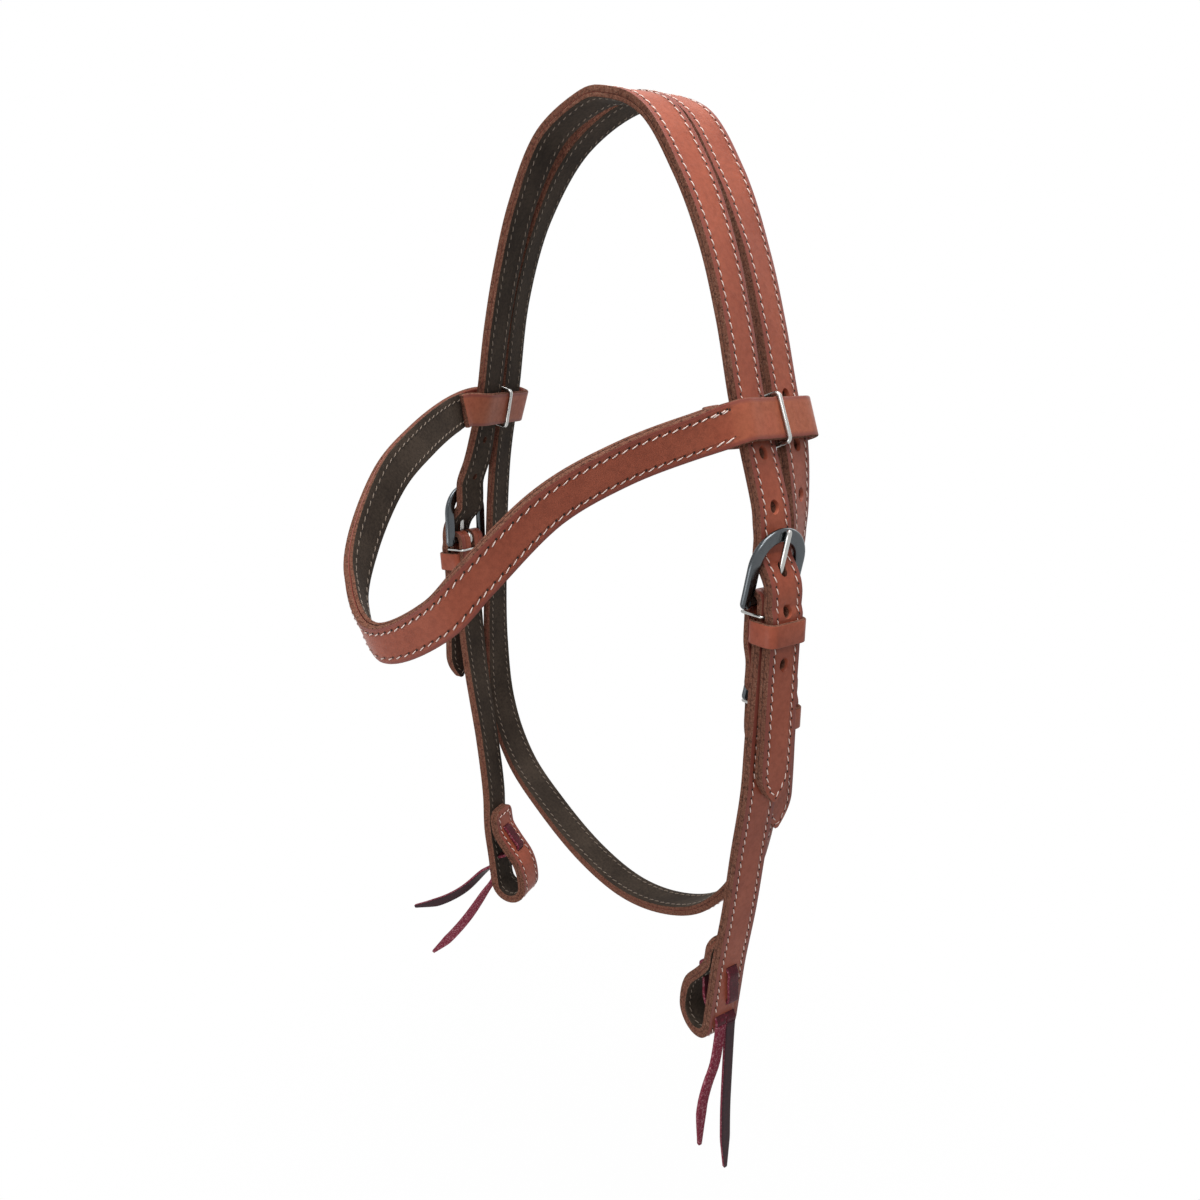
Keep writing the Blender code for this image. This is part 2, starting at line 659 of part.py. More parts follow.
def cheek_route(side, hang, loop, course, yaw_low):
    """Seam from the turned-back end at the buckle down to the tip inside the bit loop."""
    fold = fold_stops(hang, hang.yaw)
    cheek = [stop(point, yawed(side, yaw), OUTER_THICK) for *point, yaw in course]
    profile = [(18.0, 0.0), (0.0, 0.0), (-BIT_LOOP_CENTRE + 4.0, 0.0)]
    profile += [(up - BIT_LOOP_CENTRE, out - BIT_LOOP_RADIUS)
                for out, up in arc((0, 0), BIT_LOOP_RADIUS, 0, -180, 8)]
    closed = -2 * LINING_BACK - GAP
    profile += [(-13.0, -2 * BIT_LOOP_RADIUS + 0.1), (-5.0, -17.0), (5.5, -10.5),
                (15.0, closed - 0.9), (21.0, closed - 0.4), (30.0, closed - 0.5)]
    across = yawed(side, yaw_low)
    return Route((fold + cheek + [stop(loop.at(up, out), across) for up, out in profile]
                  )[::-side])


def lace_route(loop, line):
    """The tie through the bit loop: in under the cheek, up behind the leaf and out again."""
    across = tuple(loop.across)
    return Route([stop(loop.at(up, out, shift), across) for up, out, shift in line])


def tie(name, loop, straps, line, tails):
    """The threaded lace, its slots through the leather and its two free tails."""
    route = lace_route(loop, line)
    lace = ribbon(name + "_tie_lace", route, 0.0, route.length, -LACE_THICK / 2, LACE_THICK,
                  LACE_WIDTH)
    slot = ribbon(name + " lace slot", route, 0.0, route.length, -LACE_THICK / 2 - LACE_ROOM,
                  LACE_THICK + 2 * LACE_ROOM, LACE_WIDTH + 2 * LACE_ROOM, collection=CUTTERS)
    for strap in straps:
        cut(strap, slot, doubles_back=True)
    finish(lace, LACE)
    ends = {"rough": route.frame(0.0), "smooth": route.frame(route.length)}
    for kind, (tail_name, line) in zip(("rough", "smooth"), tails):
        point, along, _across, _out = ends[kind]
        away = -along if kind == "rough" else along
        start = point + away * GAP
        stops = [stop(start, tuple(loop.across)), stop(start + 4.0 * away, tuple(loop.across))]
        stops += [stop(start + np.array(step, float), tuple(loop.across)) for step in line]
        tail = Route(stops)
        item = ribbon(tail_name, tail, 0.0, tail.length, -LACE_THICK / 2, LACE_THICK, LACE_WIDTH,
                      (square_end, lace_end))
        finish(item, LACE)


def loop_stops(side, crown, throat):
    """Seam of one browband loop, from its front on the outside round to its inner wall."""
    crown_at = crown.frame(crown.at_height(LOOP_HEIGHT, side))
    throat_at = throat.frame(throat.at_height(LOOP_HEIGHT, side))
    middle_lift = (OUTER_THICK - LINING_BACK) / 2
    first = crown_at[0] + middle_lift * crown_at[3]
    second = throat_at[0] + middle_lift * throat_at[3]
    fall = crown_at[1] if crown_at[1][2] < 0 else -crown_at[1]
    rearward = second - first
    spread = float(np.linalg.norm(rearward))
    rearward = unit(rearward)
    down = unit(fall - fall.dot(rearward) * rearward)
    outward = np.cross(rearward, down)
    outward = outward if outward[0] * side > 0 else -outward
    half = (OUTER_THICK + LINING_BACK) / 2 + LOOP_ROOM
    rear = spread + HALF + LOOP_END_ROOM - 2.0
    line = [(-HALF, half), (0.0, half), (spread, half)]
    line += [(rear + x, y) for x, y in arc((0, 0), half, 90, -90, 6)]
    line += [(spread, -half), (0.0, -half), (-HALF - 0.3, -half)]
    stops = [stop(first + back * rearward + out * outward, tuple(down)) for back, out in line]
    leg = unit(crown_at[1] + throat_at[1])
    ring = (first + spread / 2 * rearward, outward, leg, half)
    return stops, ring


def browband_route(crown, throat):
    """Seam of the browband with both loops, from the right one round the brow to the left."""
    edge = {"lift": OUTER_THICK, "edge": HALF}
    brow = [((94.4, -32.7, -138.4), 10.0), ((79.1, -64.7, -150.1), 15.0),
            ((64.4, -95.0, -167.3), 17.0), ((46.5, -122.5, -197.1), 18.0),
            ((31.8, -133.0, -214.4), 19.0)]
    left = [stop(point, lean, **edge) for point, lean in brow]
    right = [stop((-point[0], point[1], point[2]), lean, **edge) for point, lean in brow]
    centre = [stop((0.0, -141.0, -228.4), 19.0, **edge)]
    left_loop, left_ring = loop_stops(1, crown, throat)
    right_loop, right_ring = loop_stops(-1, crown, throat)
    front = right + centre + left[::-1]
    open_band = Route(right_loop[::-1] + front + left_loop)
    ends = {}
    for side, loop in ((1, left_loop), (-1, right_loop)):
        crown_front = open_band.nearest(loop[0]["point"])
        lap = []
        lining_front = LOOP_LINING_END - HALF
        for ahead, drop in RETURN_LAP:
            point, _along, across, out = open_band.frame(crown_front - side * (lining_front + ahead))
            lap.append(stop(point - (LINING_BACK + GAP + drop) * out, tuple(across)))
        loop += lap
        ends[side] = crown_front - side * lining_front
    route = Route(right_loop[::-1] + front + left_loop)
    spots = [route.nearest(open_band.frame(ends[side])[0]) for side in (-1, 1)]
    return route, spots, {1: left_ring, -1: right_ring}


def band_staple(name, ring):
    """A closed wire that pinches the loop between the crown strap and the throatlatch."""
    centre, outward, leg, half = ring
    reach_out = half + OUTER_THICK + GAP + BAND_STAPLE_RADIUS
    reach_down = HALF + GAP + BAND_STAPLE_RADIUS + BAND_STAPLE_SPREAD
    line = [tuple(centre + out * outward + fall * leg)
            for out, fall in rounded_box(reach_out, reach_down, 1.2, 2)]
    item = mesh_from_curve(name, [line], PARTS, depth=BAND_STAPLE_RADIUS, cyclic=True, sides=1)
    return finish(item, NICKEL)


def build_crown(route):
    holes = []
    for frame, direction in ((LEFT_FRAME, 1), (RIGHT_FRAME, -1)):
        tongue_spot = route.nearest(frame.at(*CROWN_SPOT))
        holes += holes_beside(tongue_spot, CROWN_HOLE_PITCH, CROWN_HOLES, direction)
    cutters = [punch("crown holes", route, holes)]
    for side_name, frame in (("left", LEFT_FRAME), ("right", RIGHT_FRAME)):
        cutters.append(tongue_slot(side_name + " billet slot", frame, *BILLET_SLOT,
                                   TONGUE_EYE - TONGUE_RADIUS - SLOT_SPARE,
                                   TONGUE_EYE + TONGUE_RADIUS + SLOT_PLAY))
    ends = (pointed_end, pointed_end)
    span = (0.0, route.length)
    lined_strap("crown", route, span, span, ends, ends, cutters)


def build_throat(route):
    tongue_spot = route.nearest(THROAT_FRAME.at(*THROAT_SPOT))
    holes = holes_beside(tongue_spot, THROAT_HOLE_PITCH, THROAT_HOLES, 1)
    billet_slot = tongue_slot("throatlatch billet slot", THROAT_FRAME, *BILLET_SLOT,
                              TONGUE_EYE - TONGUE_RADIUS - SLOT_SPARE,
                              TONGUE_EYE + TONGUE_RADIUS + SLOT_PLAY)
    lining_end = route.nearest(THROAT_HANG.at(-LINING_START, FOLD_RADIUS))
    outer, _lining = lined_strap("throatlatch", route, (0.0, route.length), (0.0, lining_end),
                                 (pointed_end, rounded_end), (pointed_end, square_end),
                                 [punch("throatlatch holes", route, holes), billet_slot])
    cut(outer, fold_slot("throatlatch fold slot", THROAT_HANG))


def fold_slot(name, hang):
    """Opening in the fold that lets the tongue's eye sit on the bar."""
    depth = FOLD_RADIUS + OUTER_THICK + SLOT_SPARE
    return tongue_slot(name, hang, -depth + SLOT_PLAY, depth, -depth, depth)


def build_cheek(name, side, hang, loop, course, yaw_low, line, tails):
    route = cheek_route(side, hang, loop, course, yaw_low)
    lining_spot = route.nearest(hang.at(-LINING_START, FOLD_RADIUS))
    whole = (0.0, route.length)
    lining_span = (0.0, lining_spot) if side > 0 else (lining_spot, route.length)
    lining_ends = (rounded_end, square_end)[::side]
    outer, lining = lined_strap(name + "_cheek", route, whole, lining_span,
                                (rounded_end, rounded_end), lining_ends, [])
    cut(outer, fold_slot(name + " fold slot", hang))
    tie(name, loop, (outer, lining), line, tails)


def build_browband(crown, throat):
    route, lining_span, rings = browband_route(crown, throat)
    lined_strap("browband", route, (0.0, route.length), tuple(lining_span),
                (square_end, square_end), (square_end, square_end), [])
    for side, name in ((1, "left"), (-1, "right")):
        band_staple(name + "_browband_staple", rings[side])


for old in list(bpy.data.objects):
    bpy.data.objects.remove(old)
PARTS = bpy.data.collections.new("western_bridle")
CUTTERS = bpy.data.collections.new("cutters")
bpy.context.scene.collection.children.link(PARTS)
bpy.context.scene.collection.children.link(CUTTERS)

LEATHER = paint("russet harness leather", (0.31, 0.105, 0.055), 0.45)
LINING = paint("dark lining leather", (0.035, 0.022, 0.016), 0.75)
LACE = paint("burgundy latigo", (0.10, 0.018, 0.022), 0.5)
NICKEL = paint("nickel plated steel", (0.66, 0.62, 0.58), 0.2, 1.0)

# Buckles: the frame lies in its own plane, the strap below hangs in another
LEFT_FRAME = Place(1, (109.0, 0.4, -220.2), 8.0, 12.5)
LEFT_HANG = Place(1, (109.0, 0.4, -220.2), 8.0, 0.0)
RIGHT_FRAME = Place(-1, (-120.0, -3.5, -225.4), 12.0, 0.0)
RIGHT_HANG = Place(-1, (-120.0, -3.5, -225.4), 12.0, 4.0)
THROAT_FRAME = Place(1, (95.5, 21.5, -272.4), 5.0, 12.0)
THROAT_HANG = Place(1, (95.5, 21.5, -272.4), 5.0, 0.0)
LEFT_LOOP = Place(1, (95.05, -2.0, -433.4), 11.0, 7.4)
RIGHT_LOOP = Place(-1, (-97.1, -2.7, -433.4), 22.0, 6.4)

# Middle of each cheekpiece's outer face, with its yaw
LEFT_COURSE = [(113.8, -2.0, -288.4, 9.5), (112.8, -2.0, -314.4, 10.0),
               (108.6, -2.0, -348.4, 11.0), (104.5, -2.0, -384.4, 11.0)]
RIGHT_COURSE = [(-121.6, -3.0, -290.4, 17.0), (-118.9, -2.7, -313.4, 20.0),
                (-110.2, -2.7, -355.4, 23.0), (-104.5, -2.7, -393.4, 22.0)]

# Laces as up, out and across of their bit loop, each from its rough end to its smooth one
BEHIND_LEAF = [(4.2, -16.9, 0.0), (7.6, -14.6, 0.0), (12.2, -11.6, 0.0), (14.6, -10.3, 0.0),
               (16.3, -8.6, 0.0), (16.8, -5.5, 0.0), (16.8, 0.0, 0.0), (16.2, 2.9, 0.0),
               (14.2, 4.5, 0.2)]
LEFT_LACE = [(-19.0, 4.5, -3.0), (-16.7, 4.2, -3.0), (-15.1, 2.5, -3.0), (-14.6, 0.0, -3.0),
             (-14.0, -2.8, -3.0), (-12.4, -5.6, -3.0), (-9.4, -8.2, -2.6), (-5.0, -10.8, -1.2),
             (-1.0, -13.2, -0.3), (1.6, -15.9, 0.0), *BEHIND_LEAF, (9.0, 4.5, 0.9),
             (3.0, 4.5, 1.9), (-3.0, 4.5, 2.9), (-6.0, 4.0, 3.4), (-7.5, 2.3, 3.5),
             (-8.0, 0.0, 3.5), (-8.2, -2.4, 3.5), (-9.4, -4.5, 3.5), (-11.3, -5.2, 3.5),
             (-13.2, -4.5, 3.5), (-14.4, -2.4, 3.5), (-14.6, 0.0, 3.5), (-15.1, 2.5, 3.5),
             (-16.7, 4.2, 3.5), (-19.0, 4.5, 3.5)]
RIGHT_LACE = [(-16.0, 4.5, -3.6), (-9.0, 4.5, -3.2), (-6.0, 3.9, -3.0), (-4.5, 2.1, -3.0),
              (-4.2, 0.0, -2.6), (-3.8, -3.5, -2.0), (-1.6, -9.0, -1.0), (0.6, -13.4, 0.0),
              (2.2, -16.2, 0.0), *BEHIND_LEAF, (9.0, 4.5, 0.5), (3.0, 4.5, 1.2),
              (-2.0, 6.35, 2.2), (-5.5, 6.95, 2.5), (-9.0, 6.95, 2.6)]

# Free tails: steps from where each leaves its lace
LEFT_TAILS = [("left_tie_tail_rough", [(-0.6, -2.9, -23.3), (-1.4, -7.1, -33.9),
                                       (-2.0, -10.2, -46.0), (-2.2, -11.2, -71.2)]),
              ("left_tie_tail_smooth", [(-0.1, -0.6, -37.4), (-0.1, -0.6, -57.7),
                                        (0.2, 0.9, -97.0)])]
RIGHT_TAILS = [("right_tie_tail_rough", [(-7, -3, -18), (-22, -8, -43), (-39, -13, -66),
                                         (-54, -17, -83)]),
               ("right_tie_tail_smooth", [(-8, -3, -13), (-24, -10, -32), (-43, -18, -47),
                                          (-63, -26, -57)])]

crown_line = crown_route()
throat_line = throat_route()
build_crown(crown_line)
build_throat(throat_line)
build_browband(crown_line, throat_line)
buckle_set("left", LEFT_FRAME, LEFT_HANG)
buckle_set("right", RIGHT_FRAME, RIGHT_HANG)
buckle_set("throatlatch", THROAT_FRAME, THROAT_HANG)
build_cheek("left", 1, LEFT_HANG, LEFT_LOOP, LEFT_COURSE, 11.0, LEFT_LACE, LEFT_TAILS)
build_cheek("right", -1, RIGHT_HANG, RIGHT_LOOP, RIGHT_COURSE, 22.0, RIGHT_LACE, RIGHT_TAILS)
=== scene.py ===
"""Looks of the western bridle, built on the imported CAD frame.

Routes are in millimetres, in the frame's own axes: the origin is under the crown strap at the
poll, +Z is up, the horse faces -Y and its left side is +X. Meshes are made in metres.
"""
import math

import bmesh
import bpy
import numpy as np
from bpy.props import FloatProperty, FloatVectorProperty, PointerProperty
from bpy.types import Operator, Panel, PropertyGroup
from mathutils import Matrix, Vector


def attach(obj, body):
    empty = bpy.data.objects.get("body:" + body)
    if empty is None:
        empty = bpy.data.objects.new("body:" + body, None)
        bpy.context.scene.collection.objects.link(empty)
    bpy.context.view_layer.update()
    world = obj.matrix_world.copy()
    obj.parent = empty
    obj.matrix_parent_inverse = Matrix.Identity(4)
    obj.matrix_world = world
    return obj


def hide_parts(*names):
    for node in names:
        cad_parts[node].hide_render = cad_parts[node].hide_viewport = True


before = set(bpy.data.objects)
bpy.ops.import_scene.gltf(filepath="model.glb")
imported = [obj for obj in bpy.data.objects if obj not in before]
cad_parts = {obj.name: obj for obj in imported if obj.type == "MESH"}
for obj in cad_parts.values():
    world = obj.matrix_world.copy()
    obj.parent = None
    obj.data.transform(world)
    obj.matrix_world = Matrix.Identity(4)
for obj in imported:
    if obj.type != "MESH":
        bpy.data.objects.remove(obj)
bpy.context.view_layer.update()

bl_info = {
    "name": "Western Bridle",
    "version": (1, 0, 0),
    "blender": (4, 5, 0),
    "location": "3D View > Sidebar > Bridle",
    "description": "Sewn straps, buckles, keepers and latigo ties of a western bridle",
    "category": "Object",
}

MM = 0.001

# Spacing of the visible leather's stations, finer than the frame's
STATION_STEP = 3.0
STATION_TURN = 7.0
STRAP_COLUMNS = 6

# Fits shared with the frame
GAP = 0.3                  # between layers and between neighbouring pieces
POLL_FLAT = 5.5            # half the length that rests on the poll
BILLET_POINT = 17.0        # length of a billet's pointed end
LEAF_ROUND = 6.0           # corner radius of a turned-back end
FRAME_ARCH_HEIGHT = 17.0   # centre of the arch above the bar
BAR_RADIUS = 2.0
TONGUE_RADIUS = 1.35
TONGUE_OVERHANG = 3.5      # tongue tip past the middle of the arch
LEAF_LENGTH = 45.0
LINING_START = 10.0        # below the bar
STAPLE_DROP = 5.8
STAPLE_RADIUS = 0.7
KEEPER_DROP = 8.0
KEEPER_HEIGHT = 10.8
KEEPER_THICK = 2.0
KEEPER_ROOM = 12.7         # clear depth inside the keeper
CROWN_SPOT = (17.6, -1.9)  # holes are counted from a spot above the bar: up and out
CROWN_HOLE_PITCH = 24.0
CROWN_HOLES = (-2, -1, 1, 2)
THROAT_SPOT = (10.5, 5.2)
THROAT_HOLE_PITCH = 22.5
THROAT_HOLES = (-1, 1, 2, 3, 4, 5, 6)
BILLET_SLOT = (0.5, 22.0)  # height of the tongue's slot in the billet
TONGUE_SIDE_PLAY = 0.65
SWING_PLAY = 5.0           # degrees that frame and tongue swing in all
LOOP_ROOM = 1.55           # between a strap's face and the loop's wall
LOOP_END_ROOM = 1.2        # behind the throatlatch's rear edge
LOOP_HEIGHT = -143.4       # middle of the browband's loops
RETURN_LAP = ((-0.5, 1.55), (3.0, 0.7), (6.0, 0.5))    # past the lining's end, and behind it
LOOP_LINING_END = 20.0     # front of the crown strap's middle line
BAND_STAPLE_RADIUS = 0.9
BAND_STAPLE_SPREAD = 0.4
BIT_LOOP_RADIUS = 9.6
BIT_LOOP_CENTRE = 21.4
LACE_THICK = 2.0
LACE_ROOM = 0.35
TAIL_TIP = 2.2
FOLD_RADIUS = BAR_RADIUS + GAP + 0.05
TONGUE_EYE = BAR_RADIUS + GAP + TONGUE_RADIUS

# Finer shapes of the visible pieces
FRAME_EDGE = 1.4           # rounding of a buckle frame's rails
BAR_IN_RAIL = 2.5          # how far each end of the heel bar runs into its rail
WIRE_CORNER = 1.2          # bend radius of a turnover wire
BAND_WIRE_CORNER = 2.2
BAND_WIRE_EXTRA = 0.2      # rounding out of the browband's wire past the frame's facets
KEEPER_CORNER = 2.8
KEEPER_SIDE_PLAY = 0.7
HOLE_OVAL = (1.14, 0.92)   # along and across the strap
MOUTH_DEPTH = 1.4          # grain pressed into a punched hole
# Painted shade of each needle hole: a dark disc of this radius, lifted this far off the leather's
# face
NEEDLE_SHADE_RADIUS = 0.52
NEEDLE_SHADE_LIFT = 0.11         # of the needle hole's disc, clear of the leather's face
BACK_STITCHES = 10         # millimetres of double stitching at the browband's ends

# Area lamps: name, place and size in metres, and share of the key or fill light
LAMP_AIM = (0.0, -0.03, -0.25)
LAMPS = (("key", (0.15, -0.17, 0.85), (0.65, 0.65), 1.0),
         ("front", (0.6, -0.7, 0.5), (0.4, 0.4), 1.0),
         ("brow", (-0.1, -1.0, -0.6), (0.9, 0.3), 0.75),
         ("rear", (-0.1, 0.95, 0.25), (0.6, 0.6), 0.5))


def srgb(code):
    """Linear colour of a hex value."""
    values = [int(code[place:place + 2], 16) / 255 for place in (0, 2, 4)]
    return tuple(value / 12.92 if value <= 0.04045 else ((value + 0.055) / 1.055) ** 2.4
                 for value in values)


def length_property(name, description, default):
    """A length in metres whose default is given in millimetres."""
    return FloatProperty(name=name, description=description, default=default * MM, min=0.0,
                         precision=5, unit="LENGTH", subtype="DISTANCE")


def colour_property(name, description, code):
    return FloatVectorProperty(name=name, description=description, default=srgb(code), size=3,
                               min=0.0, max=1.0, subtype="COLOR")


class BridleSizes(PropertyGroup):
    """Sizes of the leather, the thread and the metal."""

    strap_width: length_property("Strap width", "Width of every sewn strap", 19.0)
    outer_thick: length_property("Outer leather", "Thickness of the grain leather", 3.0)
    lining_thick: length_property("Lining", "Thickness of the lining leather", 1.8)
    edge_round: length_property("Edge rounding", "Radius of the burnished edges", 0.75)
    stitch_pitch: length_property("Stitch pitch", "From one needle hole to the next", 4.5)
    stitch_length: length_property("Stitch length", "Thread that shows in one stitch", 3.2)
    stitch_inset: length_property("Stitch inset", "From the strap's edge to the row", 3.2)
    thread_width: length_property("Thread", "Width of the sewing thread", 0.55)
    stitch_slant: FloatProperty(name="Stitch slant", description="Turn of a stitch off its row",
                                default=math.radians(15.0), subtype="ANGLE", unit="ROTATION")
    hole_radius: length_property("Hole radius", "Radius of the punched holes", 2.4)
    frame_width: length_property("Buckle width", "Outer width of a buckle frame", 34.0)
    rail_width: length_property("Buckle rail", "Width of a buckle frame's rail", 6.5)
    frame_thick: length_property("Buckle thickness", "Thickness of a buckle frame", 3.0)
    lace_width: length_property("Lace width", "Width of the latigo ties", 6.2)


class BridleColours(PropertyGroup):
    """Colours of the leather, the thread and the metal."""

    russet: colour_property("Russet", "Grain side of the harness leather", "9A4D38")
    russet_light: colour_property("Russet, rubbed", "Where the glaze is rubbed", "B05F47")
    # Deeper dye in random specks, and also the painted shade along the stitch rows
    russet_dark_and_seam_shade: colour_property("Russet, shaded", "Where the dye lies deeper", "6A3224")
    burnished: colour_property("Burnished border", "Creased border beside the edge", "7E423C")
    loop_leather: colour_property("Loop leather", "Unsewn loops of the browband", "A75F44")
    raw_edge: colour_property("Raw edge", "Cut edge of the leather", "74493A")
    raw_fibre: colour_property("Edge fibre", "Pale fibres in the cut edge", "AA836E")
    lining: colour_property("Lining", "Lining leather", "2F2721")
    lining_light: colour_property("Lining fibre", "Pale fibres of the lining", "4A3F36")
    thread: colour_property("Thread", "Waxed sewing thread", "FBE6DC")
    # Darker thread for the stitches on the lining side
    thread_lining_side: colour_property("Thread, lining side", "Thread on the lining side", "8A7A6C")
    # Painted shade of the needle holes, also used for the painted shade in the cut edge's pits
    needle_hole_shade: colour_property("Needle hole", "Dark hole beside each stitch", "1D1210")
    lace_grain: colour_property("Latigo grain", "Smooth side of the ties", "30171F")
    lace_band: colour_property("Latigo, bent", "Ties where they pass the slots", "4A2026")
    lace_flesh: colour_property("Latigo flesh", "Rough side of the ties", "7C2A3C")
    lace_fibre: colour_property("Latigo fibre", "Pale fibres of the rough side", "D8A2AA")
    # Set darker than the wires' nickel: painted dark reflection in the frames' faces
    nickel: colour_property("Nickel", "Plate of the buckle frames", "575B5E")
    nickel_wire: colour_property("Nickel wire", "Plate of the wires and tongues", "BDBDBA")


class BridleStage(PropertyGroup):
    """Camera, floor and light."""

    camera_side: length_property("Camera to the left", "Camera's place along X", 341.7)
    camera_front: length_property("Camera in front", "Camera's distance along -Y", 323.5)
    camera_drop: length_property("Camera drop", "Camera's place below the poll", 114.5)
    camera_turn: FloatProperty(name="Camera turn", description="Turn of the view about Z",
                               default=math.radians(46.67), subtype="ANGLE", unit="ROTATION")
    camera_pitch: FloatProperty(name="Camera pitch", description="Downward tilt of the view",
                                default=math.radians(15.22), subtype="ANGLE", unit="ROTATION")
    lens: FloatProperty(name="Lens", description="Focal length on a 36 mm sensor, in millimetres",
                        default=27.0, min=5.0, max=300.0)
    floor_drop: length_property("Floor drop", "Floor below the poll", 760.0)
    key_power: FloatProperty(name="Key light", description="Power of the main soft light",
                             default=12.5, min=0.0, subtype="POWER")
    fill_power: FloatProperty(name="Fill light", description="Power of the light in front",
                              default=3.7, min=0.0, subtype="POWER")
    room_light: FloatProperty(name="Room light", description="Strength of the world on the object",
                              default=0.13, min=0.0)


def size(name):
    """A size of the bridle in millimetres."""
    return getattr(bpy.context.scene.bridle_sizes, name) / MM


def colour(name):
    return (*getattr(bpy.context.scene.bridle_colours, name), 1.0)


# Routes of the straps, as in the frame

def unit(vector):
    return vector / np.linalg.norm(vector)


class Place:
    """A spot on one side of the head with its own up, out and across directions.

    Yaw turns the strap's width about the vertical, tilt leans its top outwards.
    Across always runs from the front to the rear of the horse.
    """

    def __init__(self, side, origin, yaw, tilt):
        turn, lean = math.radians(yaw), math.radians(tilt)
        self.side = side
        self.yaw = yaw
        self.origin = np.array(origin, float)
        self.across = np.array((side * math.sin(turn), math.cos(turn), 0.0))
        level = side * np.array((math.cos(turn), -side * math.sin(turn), 0.0))
        rise = np.array((0.0, 0.0, 1.0))
        self.up = math.cos(lean) * rise + math.sin(lean) * level
        self.out = math.cos(lean) * level - math.sin(lean) * rise

    def at(self, up, out, across=0.0):
        return self.origin + up * self.up + out * self.out + across * self.across

    def matrix(self):
        """Local x is out, y is across and z is up, as a proper rotation on both sides."""
        columns = (self.out, self.side * self.across, self.up)
        turn = Matrix([Vector(column) for column in columns]).transposed()
        return Matrix.Translation(Vector(self.origin * MM)) @ turn.to_4x4()


def yawed(side, degrees):
    """Level direction across a strap, front to rear."""
    turn = math.radians(degrees)
    return (side * math.sin(turn), math.cos(turn), 0.0)


def stop(point, across, lift=0.0, edge=0.0):
    """One point of a route. Lift and edge say how far out and how far towards the front
    or top edge of the strap the given point lies from its middle seam."""
    return {"point": np.array(point, float), "across": across, "lift": lift, "edge": edge}


def smooth_line(points, spacing=0.5):
    """Centripetal Catmull-Rom curve: its samples and the stop number of each."""
    points = [np.array(point, float) for point in points]
    padded = [2 * points[0] - points[1], *points, 2 * points[-1] - points[-2]]
    samples, numbers = [], []
    for number in range(len(points) - 1):
        p0, p1, p2, p3 = padded[number:number + 4]
        t1 = np.linalg.norm(p1 - p0) ** 0.5
        t2 = t1 + np.linalg.norm(p2 - p1) ** 0.5
        t3 = t2 + np.linalg.norm(p3 - p2) ** 0.5
        count = max(2, math.ceil(np.linalg.norm(p2 - p1) / spacing))
        for step in range(count):
            t = t1 + (t2 - t1) * step / count
            a1 = (t1 - t) / t1 * p0 + t / t1 * p1
            a2 = (t2 - t) / (t2 - t1) * p1 + (t - t1) / (t2 - t1) * p2
            a3 = (t3 - t) / (t3 - t2) * p2 + (t - t2) / (t3 - t2) * p3
            b1 = (t2 - t) / t2 * a1 + t / t2 * a2
            b2 = (t3 - t) / (t3 - t1) * a2 + (t - t1) / (t3 - t1) * a3
            samples.append((t2 - t) / (t2 - t1) * b1 + (t - t1) / (t2 - t1) * b2)
            numbers.append(number + step / count)
    samples.append(points[-1])
    numbers.append(len(points) - 1.0)
    return np.array(samples), np.array(numbers)


class Route:
    """The seam line of a strap with its along, across and outward directions.

    Outward is across x along, so a route runs up the left side and down the right one.
    """

    def __init__(self, stops):
        samples, numbers = smooth_line([item["point"] for item in stops])
        middle, across = [], []
        for index, item in enumerate(stops):
            near = int(np.argmin(abs(numbers - index)))
            low, high = max(near - 1, 0), min(near + 1, len(samples) - 1)
            along = unit(samples[high] - samples[low])
            side = self.lean_across(along, item["across"])
            side = unit(side - side.dot(along) * along)
            out = np.cross(side, along)
            across.append(side)
            middle.append(item["point"] - item["lift"] * out + item["edge"] * side)
        self.points, numbers = smooth_line(middle)
        along = np.gradient(self.points, axis=0)
        self.along = along / np.linalg.norm(along, axis=1)[:, None]
        order = np.arange(len(stops))
        across = np.array(across)
        level = np.stack([np.interp(numbers, order, across[:, axis]) for axis in range(3)], axis=1)
        level -= (level * self.along).sum(axis=1)[:, None] * self.along
        self.across = level / np.linalg.norm(level, axis=1)[:, None]
        self.out = np.cross(self.across, self.along)
        steps = np.linalg.norm(np.diff(self.points, axis=0), axis=1)
        self.reach = np.concatenate(([0.0], np.cumsum(steps)))
        self.length = float(self.reach[-1])
        self.marks = self.mark_stations()

    @staticmethod
    def lean_across(along, across):
        """A number stands for a strap on edge, its lower edge leaning in by that angle."""
        if not isinstance(across, (int, float)):
            return np.array(across, float)
        down = np.array((0.0, 0.0, -1.0))
        inward = unit(np.array((-along[1], along[0], 0.0)))
        lean = math.radians(across)
        fall = unit(down - down.dot(along) * along)
        return math.cos(lean) * fall + math.sin(lean) * inward

    def mark_stations(self):
        marks, last, turned = [0.0], 0, 0.0
        for index in range(1, len(self.points) - 1):
            for facing in (self.out, self.across):
                cosine = float(np.clip(facing[index].dot(facing[index - 1]), -1, 1))
                turned += math.degrees(math.acos(cosine))
            if turned >= STATION_TURN or self.reach[index] - self.reach[last] >= STATION_STEP:
                marks.append(float(self.reach[index]))
                last, turned = index, 0.0
        marks.append(self.length)
        return marks

    def frame(self, distance):
        """Position, along, across and out at a distance from the start."""
        values = (self.points, self.along, self.across, self.out)
        found = [np.array([np.interp(distance, self.reach, value[:, axis]) for axis in range(3)])
                 for value in values]
        return found[0], unit(found[1]), unit(found[2]), unit(found[3])

    def nearest(self, point):
        gaps = np.linalg.norm(self.points - np.array(point), axis=1)
        return float(self.reach[int(np.argmin(gaps))])

    def at_height(self, height, side):
        """Distance of the first sample on a side of the head that is at a height."""
        beside = self.points[:, 0] * side > 0
        gaps = np.where(beside, abs(self.points[:, 2] - height), np.inf)
        return float(self.reach[int(np.argmin(gaps))])


